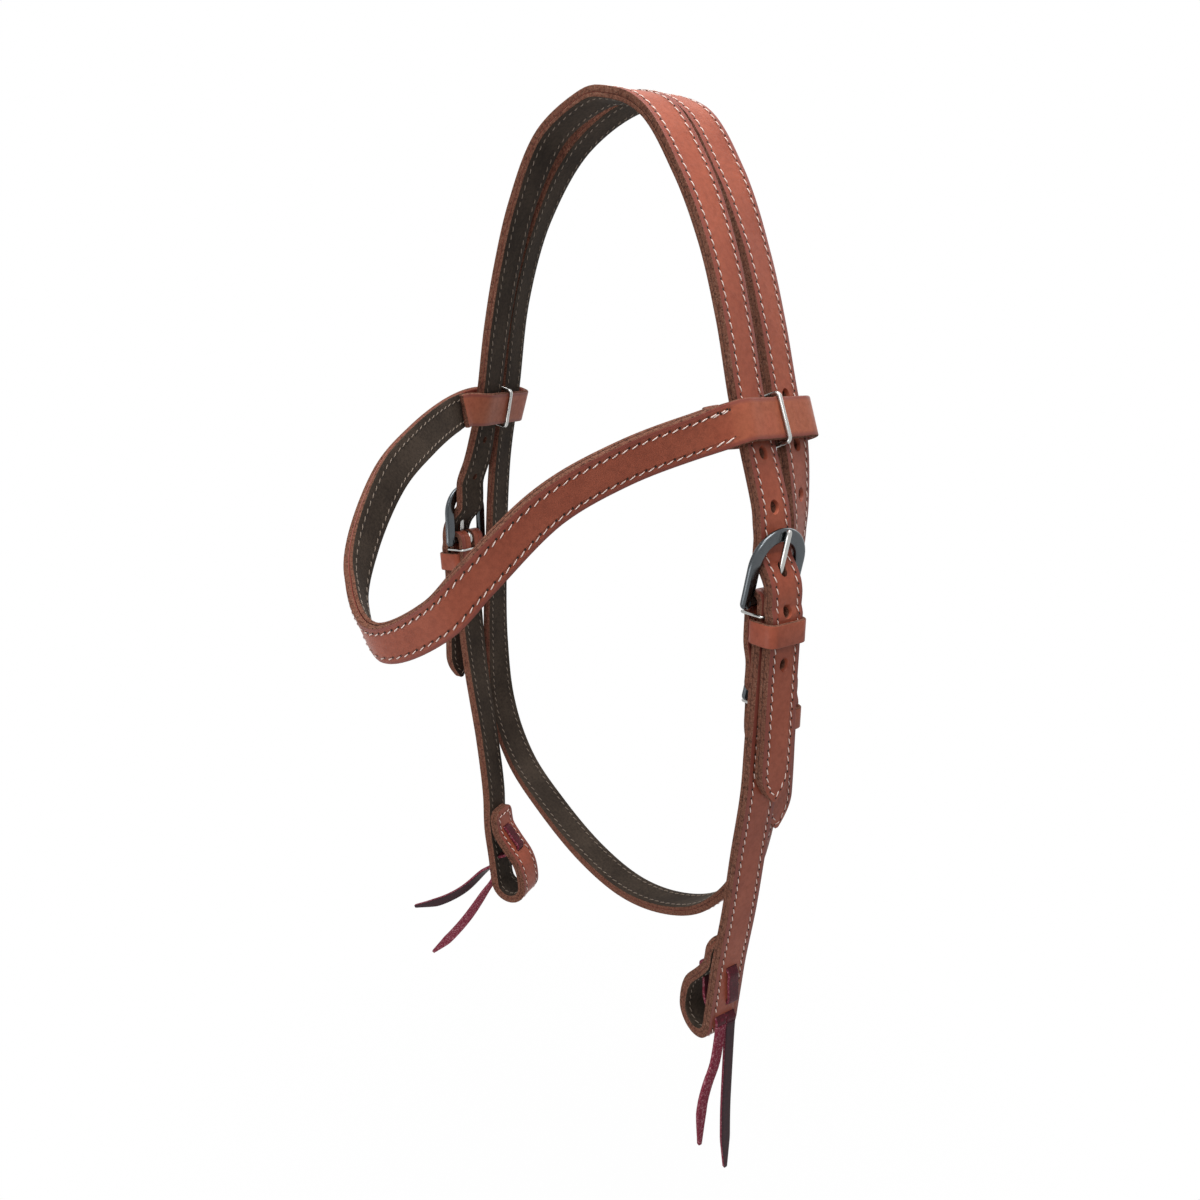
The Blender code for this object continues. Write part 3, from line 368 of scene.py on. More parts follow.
# Buckles: the frame lies in its own plane, the strap below hangs in another
LEFT_FRAME = Place(1, (109.0, 0.4, -220.2), 8.0, 12.5)
LEFT_HANG = Place(1, (109.0, 0.4, -220.2), 8.0, 0.0)
RIGHT_FRAME = Place(-1, (-120.0, -3.5, -225.4), 12.0, 0.0)
RIGHT_HANG = Place(-1, (-120.0, -3.5, -225.4), 12.0, 4.0)
THROAT_FRAME = Place(1, (95.5, 21.5, -272.4), 5.0, 12.0)
THROAT_HANG = Place(1, (95.5, 21.5, -272.4), 5.0, 0.0)
LEFT_LOOP = Place(1, (95.05, -2.0, -433.4), 11.0, 7.4)
RIGHT_LOOP = Place(-1, (-97.1, -2.7, -433.4), 22.0, 6.4)

# Middle of each cheekpiece's outer face, with its yaw
LEFT_COURSE = [(113.8, -2.0, -288.4, 9.5), (112.8, -2.0, -314.4, 10.0),
               (108.6, -2.0, -348.4, 11.0), (104.5, -2.0, -384.4, 11.0)]
RIGHT_COURSE = [(-121.6, -3.0, -290.4, 17.0), (-118.9, -2.7, -313.4, 20.0),
                (-110.2, -2.7, -355.4, 23.0), (-104.5, -2.7, -393.4, 22.0)]

# Laces as up, out and across of their bit loop, each from its rough end to its smooth one
BEHIND_LEAF = [(4.2, -16.9, 0.0), (7.6, -14.6, 0.0), (12.2, -11.6, 0.0), (14.6, -10.3, 0.0),
               (16.3, -8.6, 0.0), (16.8, -5.5, 0.0), (16.8, 0.0, 0.0), (16.2, 2.9, 0.0),
               (14.2, 4.5, 0.2)]
LEFT_LACE = [(-19.0, 4.5, -3.0), (-16.7, 4.2, -3.0), (-15.1, 2.5, -3.0), (-14.6, 0.0, -3.0),
             (-14.0, -2.8, -3.0), (-12.4, -5.6, -3.0), (-9.4, -8.2, -2.6), (-5.0, -10.8, -1.2),
             (-1.0, -13.2, -0.3), (1.6, -15.9, 0.0), *BEHIND_LEAF, (9.0, 4.5, 0.9),
             (3.0, 4.5, 1.9), (-3.0, 4.5, 2.9), (-6.0, 4.0, 3.4), (-7.5, 2.3, 3.5),
             (-8.0, 0.0, 3.5), (-8.2, -2.4, 3.5), (-9.4, -4.5, 3.5), (-11.3, -5.2, 3.5),
             (-13.2, -4.5, 3.5), (-14.4, -2.4, 3.5), (-14.6, 0.0, 3.5), (-15.1, 2.5, 3.5),
             (-16.7, 4.2, 3.5), (-19.0, 4.5, 3.5)]
RIGHT_LACE = [(-16.0, 4.5, -3.6), (-9.0, 4.5, -3.2), (-6.0, 3.9, -3.0), (-4.5, 2.1, -3.0),
              (-4.2, 0.0, -2.6), (-3.8, -3.5, -2.0), (-1.6, -9.0, -1.0), (0.6, -13.4, 0.0),
              (2.2, -16.2, 0.0), *BEHIND_LEAF, (9.0, 4.5, 0.5), (3.0, 4.5, 1.2),
              (-2.0, 6.35, 2.2), (-5.5, 6.95, 2.5), (-9.0, 6.95, 2.6)]

# Free tails: steps from where each leaves its lace
LEFT_TAILS = {"left_tie_tail_rough": [(-0.6, -2.9, -23.3), (-1.4, -7.1, -33.9),
                                      (-2.0, -10.2, -46.0), (-2.2, -11.2, -71.2)],
              "left_tie_tail_smooth": [(-0.1, -0.6, -37.4), (-0.1, -0.6, -57.7),
                                       (0.2, 0.9, -97.0)]}
RIGHT_TAILS = {"right_tie_tail_rough": [(-7, -3, -18), (-22, -8, -43), (-39, -13, -66),
                                        (-54, -17, -83)],
               "right_tie_tail_smooth": [(-8, -3, -13), (-24, -10, -32), (-43, -18, -47),
                                         (-63, -26, -57)]}
LEFT_TWIST = tuple(LEFT_LOOP.across)
RIGHT_TWIST = (0.5, 0.45, -0.7)


def arc(centre, radius, first, last, steps):
    """Points on a circle in a plane, angles in degrees, both ends included."""
    turns = [math.radians(first + (last - first) * step / steps) for step in range(steps + 1)]
    return [(centre[0] + radius * math.cos(turn), centre[1] + radius * math.sin(turn))
            for turn in turns]


def rounded_box(half_x, half_y, radius, steps):
    """Outline of a rectangle with round corners, centred on the origin."""
    points = []
    for quarter, (sx, sy) in enumerate(((1, 1), (-1, 1), (-1, -1), (1, -1))):
        centre = (sx * (half_x - radius), sy * (half_y - radius))
        points += arc(centre, radius, 90 * quarter, 90 * quarter + 90, steps)
    return points


def square_end(_distance):
    return 1.0


def pointed_end(distance):
    """Share of the strap's width at a distance from a billet's point."""
    share = min(max(distance, 0.0) / BILLET_POINT, 1.0)
    return 0.1 + 0.9 * (1 - (1 - share) ** 1.9)


def rounded_end(distance):
    """Share of the strap's width at a distance from a round-cornered end."""
    missing = LEAF_ROUND - min(max(distance, 0.0), LEAF_ROUND)
    drop = LEAF_ROUND - math.sqrt(LEAF_ROUND ** 2 - missing ** 2)
    return 1 - 2 * drop / size("strap_width")


def lace_end(distance):
    """Share of a lace's width at a distance from its cut end."""
    return min(1.0, (TAIL_TIP + max(distance, 0.0) / 5) / size("lace_width"))


def lining_back():
    return GAP + size("lining_thick")


def fold_stops(hang, yaw_below):
    """Seam of the end that turns round the bar, from the leaf's end to the keeper."""
    side = hang.side
    across = tuple(hang.across)
    close = FOLD_RADIUS - lining_back() - GAP
    leaf_behind = -FOLD_RADIUS
    below_keeper = KEEPER_DROP + KEEPER_HEIGHT
    stops = [stop(hang.at(-LEAF_LENGTH, close - 0.9), across),
             stop(hang.at(-below_keeper - 10.0, close - 0.3), across),
             stop(hang.at(-below_keeper - 1.5, leaf_behind + 0.1), across),
             stop(hang.at(-KEEPER_DROP, leaf_behind), across),
             stop(hang.at(-3.0, leaf_behind), across)]
    for out, up in arc((0, 0), FOLD_RADIUS, 180, 0, 6):
        stops.append(stop(hang.at(up, out), across))
    stops += [stop(hang.at(-3.0, FOLD_RADIUS), across),
              stop(hang.at(-KEEPER_DROP, FOLD_RADIUS), across),
              stop(hang.at(-below_keeper, FOLD_RADIUS), yawed(side, yaw_below))]
    return stops


def billet_stops(buckle, hang, approach, tail):
    """Seam of a billet from above the frame, through it, over the bar, into the keeper."""
    across = tuple(buckle.across)
    outer = size("outer_thick")
    under_arch = -(size("frame_thick") / 2 + outer)
    through = [(22.8, under_arch - 0.5), (20.3, under_arch + 0.1), (17.6, -1.9), (14.5, 1.6),
               (10.5, 5.2), (6.5, 7.2), (2.0, 8.2)]
    over_fold = FOLD_RADIUS + outer + GAP + lining_back()
    over_staple = over_fold + 2 * STAPLE_RADIUS + GAP
    stops = [stop(buckle.at(up, out), across) for up, out in approach + through]
    below = [(-2.0, over_fold + 0.6), (-STAPLE_DROP, over_staple + 0.05),
             (-KEEPER_DROP, over_staple - 0.1), (-KEEPER_DROP - KEEPER_HEIGHT, over_staple - 0.65)]
    stops += [stop(hang.at(up, out), across) for up, out in below]
    stops += [stop(hang.at(up, out, shift), yawed(hang.side, yaw)) for up, out, shift, yaw in tail]
    return stops


def crown_route():
    outer = size("outer_thick")
    left_side = [
        stop(LEFT_FRAME.at(39.7, -10.9), yawed(1, 6)),
        stop((99.1, 0.0, -153.9), yawed(1, 1.5)),
        stop((92.3, 0.0, -134.3), yawed(1, 1)),
        stop((83.5, 0.2, -100.9), yawed(1, 0)),
        stop((72.7, 0.4, -68.4), (0.05, 1.0, 0.02)),
        stop((56.3, 0.3, -35.4), (0.13, 0.98, 0.11)),
        stop((33.5, 0.0, -6.8), (0.02, 0.97, 0.22)),
        stop((POLL_FLAT, 0.0, lining_back()), yawed(1, -8.6)),
        stop((-POLL_FLAT, 0.0, lining_back()), yawed(1, -8.6)),
    ]
    right_side = [
        stop((-38.0, -0.6, -6.4), yawed(-1, 16), outer),
        stop((-62.0, -0.6, -33.8), yawed(-1, 20), outer),
        stop((-78.7, -0.3, -67.2), yawed(-1, 20), outer),
        stop((-89.6, -0.5, -100.0), yawed(-1, 20), outer),
        stop((-98.1, -0.6, -133.4), yawed(-1, 22), outer),
        stop((-104.6, -0.6, -153.4), yawed(-1, 22), outer),
        stop(RIGHT_FRAME.at(50.0, -12.2), yawed(-1, 14)),
    ]
    left_billet = billet_stops(LEFT_FRAME, LEFT_HANG, [(34.0, -8.4), (27.5, -5.9)],
                               [(-40.6, 8.5, 0.0, 9), (-63.6, 8.5, 0.0, 10), (-97.0, 7.3, 0.5, 10)])
    right_billet = billet_stops(RIGHT_FRAME, RIGHT_HANG, [(36.0, -5.8), (27.5, -5.3)],
                                [(-40.0, 10.8, 0.0, 13), (-54.0, 12.7, 0.0, 13),
                                 (-74.0, 15.1, 0.0, 13), (-93.0, 16.8, 0.0, 13)])
    return Route(left_billet[::-1] + left_side + right_side + right_billet)


def throat_route():
    outer = size("outer_thick")
    billet = billet_stops(THROAT_FRAME, THROAT_HANG, [(34.0, -5.2), (27.5, -5.25)],
                          [(-45.0, 8.6, 0.5, 5), (-60.0, 7.6, 1.5, 5), (-73.0, 6.6, 2.0, 5)])
    left_side = [
        stop(THROAT_FRAME.at(49.6, -5.6), yawed(1, 0)),
        stop((103.3, 23.4, -205.5), yawed(1, -14)),
        stop((104.4, 24.1, -192.0), yawed(1, -17)),
        stop((103.4, 24.5, -176.0), yawed(1, -11)),
        stop((99.4, 24.9, -152.5), yawed(1, -2)),
        stop((92.5, 25.5, -134.2), yawed(1, 1)),
        stop((83.6, 25.2, -101.3), yawed(1, 0)),
        stop((72.7, 24.9, -68.5), yawed(1, 0)),
        stop((56.5, 24.7, -35.0), (0.1, 0.99, 0.09)),
        stop((33.6, 24.8, -5.6), (0.02, 0.99, 0.13)),
        stop((0.0, 24.8, 4.8), yawed(1, -10)),
    ]
    right_side = [
        stop((-45.0, 22.0, -8.4), yawed(-1, 24), outer),
        stop((-76.0, 20.1, -43.4), yawed(-1, 28), outer),
        stop((-94.8, 19.5, -84.4), yawed(-1, 26), outer),
        stop((-107.2, 20.5, -133.4), yawed(-1, 24), outer),
        stop((-118.0, 20.5, -177.4), yawed(-1, 24), outer),
        stop((-123.5, 20.0, -229.4), yawed(-1, 22), outer),
        stop((-126.5, 19.5, -296.4), yawed(-1, 14), outer),
    ]
    under_jaw = [(-121.5, -344.4), (-102.0, -378.4), (-69.5, -401.9), (-31.0, -420.4),
                 (5.0, -427.7), (38.0, -422.9), (67.0, -408.4), (90.0, -380.4), (97.0, -358.4)]
    bottom = [stop((x, 20.0, z), yawed(1, 0), outer) for x, z in under_jaw]
    bottom.append(stop((100.0, 20.8, -328.4), yawed(1, 3), outer))
    fold = fold_stops(THROAT_HANG, 5)
    return Route(billet[::-1] + left_side + right_side + bottom + fold[::-1])


def cheek_route(side, hang, loop, course, yaw_low):
    """Seam from the turned-back end at the buckle down to the tip inside the bit loop."""
    fold = fold_stops(hang, hang.yaw)
    cheek = [stop(point, yawed(side, yaw), size("outer_thick")) for *point, yaw in course]
    profile = [(18.0, 0.0), (0.0, 0.0), (-BIT_LOOP_CENTRE + 4.0, 0.0)]
    profile += [(up - BIT_LOOP_CENTRE, out - BIT_LOOP_RADIUS)
                for out, up in arc((0, 0), BIT_LOOP_RADIUS, 0, -180, 8)]
    closed = -2 * lining_back() - GAP
    profile += [(-13.0, -2 * BIT_LOOP_RADIUS + 0.1), (-5.0, -17.0), (5.5, -10.5),
                (15.0, closed - 0.9), (21.0, closed - 0.4), (30.0, closed - 0.5)]
    across = yawed(side, yaw_low)
    lower = [stop(loop.at(up, out), across) for up, out in profile]
    return Route((fold + cheek + lower)[::-side])


def lace_route(loop, line):
    """The tie through the bit loop: in under the cheek, up behind the leaf and out again."""
    across = tuple(loop.across)
    return Route([stop(loop.at(up, out, shift), across) for up, out, shift in line])


def loop_stops(side, crown, throat):
    """Seam of one browband loop, from its front on the outside round to its inner wall."""
    crown_at = crown.frame(crown.at_height(LOOP_HEIGHT, side))
    throat_at = throat.frame(throat.at_height(LOOP_HEIGHT, side))
    outer = size("outer_thick")
    middle_lift = (outer - lining_back()) / 2
    first = crown_at[0] + middle_lift * crown_at[3]
    second = throat_at[0] + middle_lift * throat_at[3]
    fall = crown_at[1] if crown_at[1][2] < 0 else -crown_at[1]
    rearward = second - first
    spread = float(np.linalg.norm(rearward))
    rearward = unit(rearward)
    down = unit(fall - fall.dot(rearward) * rearward)
    outward = np.cross(rearward, down)
    outward = outward if outward[0] * side > 0 else -outward
    half = (outer + lining_back()) / 2 + LOOP_ROOM
    strap_half = size("strap_width") / 2
    rear = spread + strap_half + LOOP_END_ROOM - 2.0
    line = [(-strap_half, half), (0.0, half), (spread, half)]
    line += [(rear + x, y) for x, y in arc((0, 0), half, 90, -90, 6)]
    line += [(spread, -half), (0.0, -half), (-strap_half - 0.3, -half)]
    stops = [stop(first + back * rearward + out * outward, tuple(down)) for back, out in line]
    leg = unit(crown_at[1] + throat_at[1])
    return stops, (first + spread / 2 * rearward, outward, leg, half)


def browband_route(crown, throat):
    """Seam of the browband with both loops, from the right one round the brow to the left."""
    edge = {"lift": size("outer_thick"), "edge": size("strap_width") / 2}
    brow = [((94.4, -32.7, -138.4), 10.0), ((79.1, -64.7, -150.1), 15.0),
            ((64.4, -95.0, -167.3), 17.0), ((46.5, -122.5, -197.1), 18.0),
            ((31.8, -133.0, -214.4), 19.0)]
    left = [stop(point, lean, **edge) for point, lean in brow]
    right = [stop((-point[0], point[1], point[2]), lean, **edge) for point, lean in brow]
    centre = [stop((0.0, -141.0, -228.4), 19.0, **edge)]
    left_loop, left_ring = loop_stops(1, crown, throat)
    right_loop, right_ring = loop_stops(-1, crown, throat)
    front = right + centre + left[::-1]
    open_band = Route(right_loop[::-1] + front + left_loop)
    lining_front = LOOP_LINING_END - size("strap_width") / 2
    ends = {}
    for side, loop in ((1, left_loop), (-1, right_loop)):
        crown_front = open_band.nearest(loop[0]["point"])
        for ahead, drop in RETURN_LAP:
            spot = crown_front - side * (lining_front + ahead)
            point, _along, across, out = open_band.frame(spot)
            loop.append(stop(point - (lining_back() + GAP + drop) * out, tuple(across)))
        ends[side] = open_band.frame(crown_front - side * lining_front)[0]
    route = Route(right_loop[::-1] + front + left_loop)
    spots = [route.nearest(ends[side]) for side in (-1, 1)]
    return route, spots, {1: left_ring, -1: right_ring}


# Materials

def add_node(tree, kind, inputs=None, **settings):
    """A shader node. Each input is a value, or the socket that feeds it."""
    item = tree.nodes.new(kind)
    for key, value in settings.items():
        setattr(item, key, value)
    for key, value in (inputs or {}).items():
        if isinstance(value, bpy.types.NodeSocket):
            tree.links.new(value, item.inputs[key])
        else:
            item.inputs[key].default_value = value
    return item


def new_material(name):
    """An empty node material: its tree, its shader and the object's own coordinates."""
    material = bpy.data.materials.new(name)
    material.use_nodes = True
    tree = material.node_tree
    shader = tree.nodes["Principled BSDF"]
    place = add_node(tree, "ShaderNodeTexCoord").outputs["Object"]
    return material, tree, shader, place


def per_metre(millimetres):
    """Texture scale whose pattern repeats about every so many millimetres."""
    return 1.0 / (millimetres * MM)


def seam_shade(tree, sewn):
    """How near the surface is to a stitch row, 1 in the row, and how near to the edge."""
    strap = add_node(tree, "ShaderNodeUVMap", uv_map="strap").outputs["UV"]
    parts = add_node(tree, "ShaderNodeSeparateXYZ", {"Vector": strap})
    reach = add_node(tree, "ShaderNodeMath", {0: parts.outputs["X"]}, operation="ABSOLUTE")
    half = size("strap_width") / 2
    row = (half - size("stitch_inset")) * MM
    off_row = add_node(tree, "ShaderNodeMath", {0: reach.outputs[0], 1: row}, operation="SUBTRACT")
    off_row = add_node(tree, "ShaderNodeMath", {0: off_row.outputs[0]}, operation="ABSOLUTE")
    row_range = {"Value": off_row.outputs[0], "From Min": 0.2 * MM, "From Max": 1.3 * MM,
                 "To Min": 1.0, "To Max": 0.0}
    near_row = add_node(tree, "ShaderNodeMapRange", row_range, interpolation_type="SMOOTHSTEP")
    after = add_node(tree, "ShaderNodeMapRange",
                     {"Value": parts.outputs["Y"], "From Min": (sewn[0] - 5.0) * MM,
                      "From Max": (sewn[0] + 3.0) * MM}, interpolation_type="SMOOTHSTEP")
    before = add_node(tree, "ShaderNodeMapRange",
                      {"Value": parts.outputs["Y"], "From Min": (sewn[1] - 3.0) * MM,
                       "From Max": (sewn[1] + 5.0) * MM, "To Min": 1.0, "To Max": 0.0},
                      interpolation_type="SMOOTHSTEP")
    inside = add_node(tree, "ShaderNodeMath", {0: after.outputs[0], 1: before.outputs[0]},
                      operation="MULTIPLY")
    seam = add_node(tree, "ShaderNodeMath", {0: near_row.outputs[0], 1: inside.outputs[0]},
                    operation="MULTIPLY")
    edge_range = {"Value": reach.outputs[0], "From Min": (half - 2.6) * MM,
                  "From Max": (half - 1.2) * MM}
    near_edge = add_node(tree, "ShaderNodeMapRange", edge_range)
    return seam.outputs[0], near_edge.outputs[0], inside.outputs[0]


def harness_leather(name, sewn):
    """Vegetable-tanned harness leather, dyed russet and glazed on the grain side.

    The dye is uneven over a few centimetres and the grain shows pores about half a
    millimetre apart, with the surface pulled down along the rows of stitches and painted
    shade darkening them.
    """
    material, tree, shader, place = new_material(name)
    seam, near_edge, inside = seam_shade(tree, sewn)
    mottle = add_node(tree, "ShaderNodeTexNoise",
                      {"Vector": place, "Scale": per_metre(38.0), "Detail": 4.0, "Roughness": 0.6})
    cloud = add_node(tree, "ShaderNodeMapRange",
                     {"Value": mottle.outputs["Fac"], "From Min": 0.35, "From Max": 0.68})
    fine = add_node(tree, "ShaderNodeTexNoise",
                    {"Vector": place, "Scale": per_metre(2.6), "Detail": 6.0, "Roughness": 0.7})
    speck = add_node(tree, "ShaderNodeMapRange",
                     {"Value": fine.outputs["Fac"], "From Min": 0.42, "From Max": 0.72})
    base = add_node(tree, "ShaderNodeMix", {0: inside, 6: colour("loop_leather"),
                                            7: colour("russet")}, data_type="RGBA")
    dyed = add_node(tree, "ShaderNodeMix", {0: cloud.outputs[0], 6: base.outputs[2],
                                            7: colour("russet_light")}, data_type="RGBA")
    spot_share = add_node(tree, "ShaderNodeMath", {0: speck.outputs[0], 1: 0.42},
                          operation="MULTIPLY")
    specked = add_node(tree, "ShaderNodeMix", {0: spot_share.outputs[0], 6: dyed.outputs[2],
                                               7: colour("russet_dark_and_seam_shade")}, data_type="RGBA")
    dark_share = add_node(tree, "ShaderNodeMath", {0: near_edge, 1: 0.7}, operation="MULTIPLY")
    edged = add_node(tree, "ShaderNodeMix", {0: dark_share.outputs[0], 6: specked.outputs[2],
                                             7: colour("burnished")}, data_type="RGBA")
    # Painted shade in the stitch grooves: the leather darkened along each row
    seam_shade_share = add_node(tree, "ShaderNodeMath", {0: seam, 1: 0.35}, operation="MULTIPLY")
    shaded = add_node(tree, "ShaderNodeMix", {0: seam_shade_share.outputs[0], 6: edged.outputs[2],
                                              7: colour("russet_dark_and_seam_shade")}, data_type="RGBA")
    tree.links.new(shaded.outputs[2], shader.inputs["Base Color"])
    gloss = add_node(tree, "ShaderNodeMapRange",
                     {"Value": fine.outputs["Fac"], "To Min": 0.36, "To Max": 0.56})
    tree.links.new(gloss.outputs[0], shader.inputs["Roughness"])
    pores = add_node(tree, "ShaderNodeTexVoronoi",
                     {"Vector": place, "Scale": per_metre(0.9), "Randomness": 1.0},
                     feature="DISTANCE_TO_EDGE")
    grain = add_node(tree, "ShaderNodeMapRange",
                     {"Value": pores.outputs["Distance"], "From Min": 0.0, "From Max": 0.25})
    grain_bump = add_node(tree, "ShaderNodeBump", {"Height": grain.outputs[0], "Strength": 0.35,
                                                   "Distance": 0.08 * MM})
    crease = add_node(tree, "ShaderNodeBump", {"Height": fine.outputs["Fac"], "Strength": 0.5,
                                               "Distance": 0.25 * MM,
                                               "Normal": grain_bump.outputs[0]})
    pulled = add_node(tree, "ShaderNodeBump", {"Height": seam, "Strength": 0.9,
                                               "Distance": 0.35 * MM,
                                               "Normal": crease.outputs[0]}, invert=True)
    tree.links.new(pulled.outputs[0], shader.inputs["Normal"])
    shader.inputs["IOR"].default_value = 1.47
    shader.inputs["Coat Weight"].default_value = 0.1
    shader.inputs["Specular IOR Level"].default_value = 0.2
    shader.inputs["Coat Roughness"].default_value = 0.26
    return material


def cut_edge():
    """Cut and lightly burnished edge of the harness leather: matt, with pale fibres and dark specks
    of painted shade in its pits.
    """
    material, tree, shader, place = new_material("cut leather edge")
    fibre = add_node(tree, "ShaderNodeTexNoise",
                     {"Vector": place, "Scale": per_metre(0.7), "Detail": 5.0, "Roughness": 0.7})
    share = add_node(tree, "ShaderNodeMapRange",
                     {"Value": fibre.outputs["Fac"], "From Min": 0.47, "From Max": 0.66})
    patch = add_node(tree, "ShaderNodeTexNoise",
                     {"Vector": place, "Scale": per_metre(14.0), "Detail": 2.0})
    depth = add_node(tree, "ShaderNodeMath", {0: share.outputs[0], 1: patch.outputs["Fac"]},
                     operation="MULTIPLY")
    mixed = add_node(tree, "ShaderNodeMix", {0: depth.outputs[0], 6: colour("raw_edge"),
                                             7: colour("raw_fibre")}, data_type="RGBA")
    # Painted shade in the edge's pits: dark specks mixed in by noise
    pit = add_node(tree, "ShaderNodeTexNoise",
                   {"Vector": place, "Scale": per_metre(1.3), "Detail": 3.0, "Roughness": 0.6})
    pit_shade_share = add_node(tree, "ShaderNodeMapRange",
                         {"Value": pit.outputs["Fac"], "From Min": 0.5, "From Max": 0.62,
                          "To Max": 0.6})
    pit_shaded = add_node(tree, "ShaderNodeMix", {0: pit_shade_share.outputs[0], 6: mixed.outputs[2],
                                              7: colour("needle_hole_shade")}, data_type="RGBA")
    tree.links.new(pit_shaded.outputs[2], shader.inputs["Base Color"])
    bump = add_node(tree, "ShaderNodeBump", {"Height": fibre.outputs["Fac"], "Strength": 0.8,
                                             "Distance": 0.35 * MM})
    tree.links.new(bump.outputs[0], shader.inputs["Normal"])
    shader.inputs["Roughness"].default_value = 0.85
    shader.inputs["Specular IOR Level"].default_value = 0.1
    return material


def lining_leather():
    """Dark chrome-tanned lining leather, matt, with a short brushed nap."""
    material, tree, shader, place = new_material("lining leather")
    nap = add_node(tree, "ShaderNodeTexNoise",
                   {"Vector": place, "Scale": per_metre(1.6), "Detail": 5.0, "Roughness": 0.7})
    patch = add_node(tree, "ShaderNodeTexNoise",
                     {"Vector": place, "Scale": per_metre(26.0), "Detail": 3.0})
    share = add_node(tree, "ShaderNodeMath", {0: nap.outputs["Fac"], 1: patch.outputs["Fac"]},
                     operation="MULTIPLY")
    spread = add_node(tree, "ShaderNodeMapRange",
                      {"Value": share.outputs[0], "From Min": 0.15, "From Max": 0.36})
    mixed = add_node(tree, "ShaderNodeMix", {0: spread.outputs[0], 6: colour("lining"),
                                             7: colour("lining_light")}, data_type="RGBA")
    tree.links.new(mixed.outputs[2], shader.inputs["Base Color"])
    bump = add_node(tree, "ShaderNodeBump", {"Height": nap.outputs["Fac"], "Strength": 0.5,
                                             "Distance": 0.2 * MM})
    tree.links.new(bump.outputs[0], shader.inputs["Normal"])
    shader.inputs["Roughness"].default_value = 0.78
    shader.inputs["Specular IOR Level"].default_value = 0.12
    return material


def waxed_thread(name, shade):
    """Waxed polyester thread, slightly fuzzy, with a twist finer than a stitch."""
    material, tree, shader, place = new_material(name)
    twist = add_node(tree, "ShaderNodeTexNoise",
                     {"Vector": place, "Scale": per_metre(0.6), "Detail": 2.0})
    soil = add_node(tree, "ShaderNodeMapRange",
                    {"Value": twist.outputs["Fac"], "From Min": 0.3, "From Max": 0.7,
                     "To Min": 0.86, "To Max": 1.0})
    tint = add_node(tree, "ShaderNodeMix", {0: 1.0, 6: shade,
                                            7: soil.outputs[0]}, data_type="RGBA",
                    blend_type="MULTIPLY")
    tree.links.new(tint.outputs[2], shader.inputs["Base Color"])
    shader.inputs["Roughness"].default_value = 0.6
    return material


def needle_hole_shade():
    """Painted shade of a needle hole: a dark disc on the leather's face, flecked with the lining's
    colour.
    """
    material, tree, shader, place = new_material("needle hole")
    speck = add_node(tree, "ShaderNodeTexNoise", {"Vector": place, "Scale": per_metre(0.5)})
    mixed = add_node(tree, "ShaderNodeMix", {0: speck.outputs["Fac"], 6: colour("needle_hole_shade"),
                                             7: colour("lining")}, data_type="RGBA")
    tree.links.new(mixed.outputs[2], shader.inputs["Base Color"])
    shader.inputs["Roughness"].default_value = 0.95
    return material


def latigo(name, dark, light, fibre_size, roughness, depth):
    """Latigo: leather stuffed with oil and wax, smooth on the grain, fibrous on the flesh."""
    material, tree, shader, place = new_material(name)
    fibre = add_node(tree, "ShaderNodeTexNoise",
                     {"Vector": place, "Scale": per_metre(fibre_size), "Detail": 6.0,
                      "Roughness": 0.75})
    share = add_node(tree, "ShaderNodeMapRange",
                     {"Value": fibre.outputs["Fac"], "From Min": 0.5, "From Max": 0.72})
    mixed = add_node(tree, "ShaderNodeMix", {0: share.outputs[0], 6: dark, 7: light},
                     data_type="RGBA")
    tree.links.new(mixed.outputs[2], shader.inputs["Base Color"])
    bump = add_node(tree, "ShaderNodeBump", {"Height": fibre.outputs["Fac"], "Strength": 0.7,
                                             "Distance": depth * MM})
    tree.links.new(bump.outputs[0], shader.inputs["Normal"])
    shader.inputs["Roughness"].default_value = roughness
    shader.inputs["Specular IOR Level"].default_value = 0.15
    return material


def nickel_plate(name, shade):
    """Nickel-plated steel, polished in a drum: bright, with fine rubbed marks. The frames' darker
    colour is a painted dark reflection.
    """
    material, tree, shader, place = new_material(name)
    rub = add_node(tree, "ShaderNodeTexNoise",
                   {"Vector": place, "Scale": per_metre(3.0), "Detail": 5.0, "Distortion": 0.6})
    gloss = add_node(tree, "ShaderNodeMapRange",
                     {"Value": rub.outputs["Fac"], "From Min": 0.3, "From Max": 0.75,
                      "To Min": 0.14, "To Max": 0.34})
    tree.links.new(gloss.outputs[0], shader.inputs["Roughness"])
    patch = add_node(tree, "ShaderNodeMix", {0: rub.outputs["Fac"], 6: shade,
                                             7: tuple(0.8 * value for value in shade)},
                     data_type="RGBA")
    tree.links.new(patch.outputs[2], shader.inputs["Base Color"])
    bump = add_node(tree, "ShaderNodeBump", {"Height": rub.outputs["Fac"], "Strength": 0.06,
                                             "Distance": 0.1 * MM})
    tree.links.new(bump.outputs[0], shader.inputs["Normal"])
    shader.inputs["Metallic"].default_value = 1.0
    return material


MADE = {}


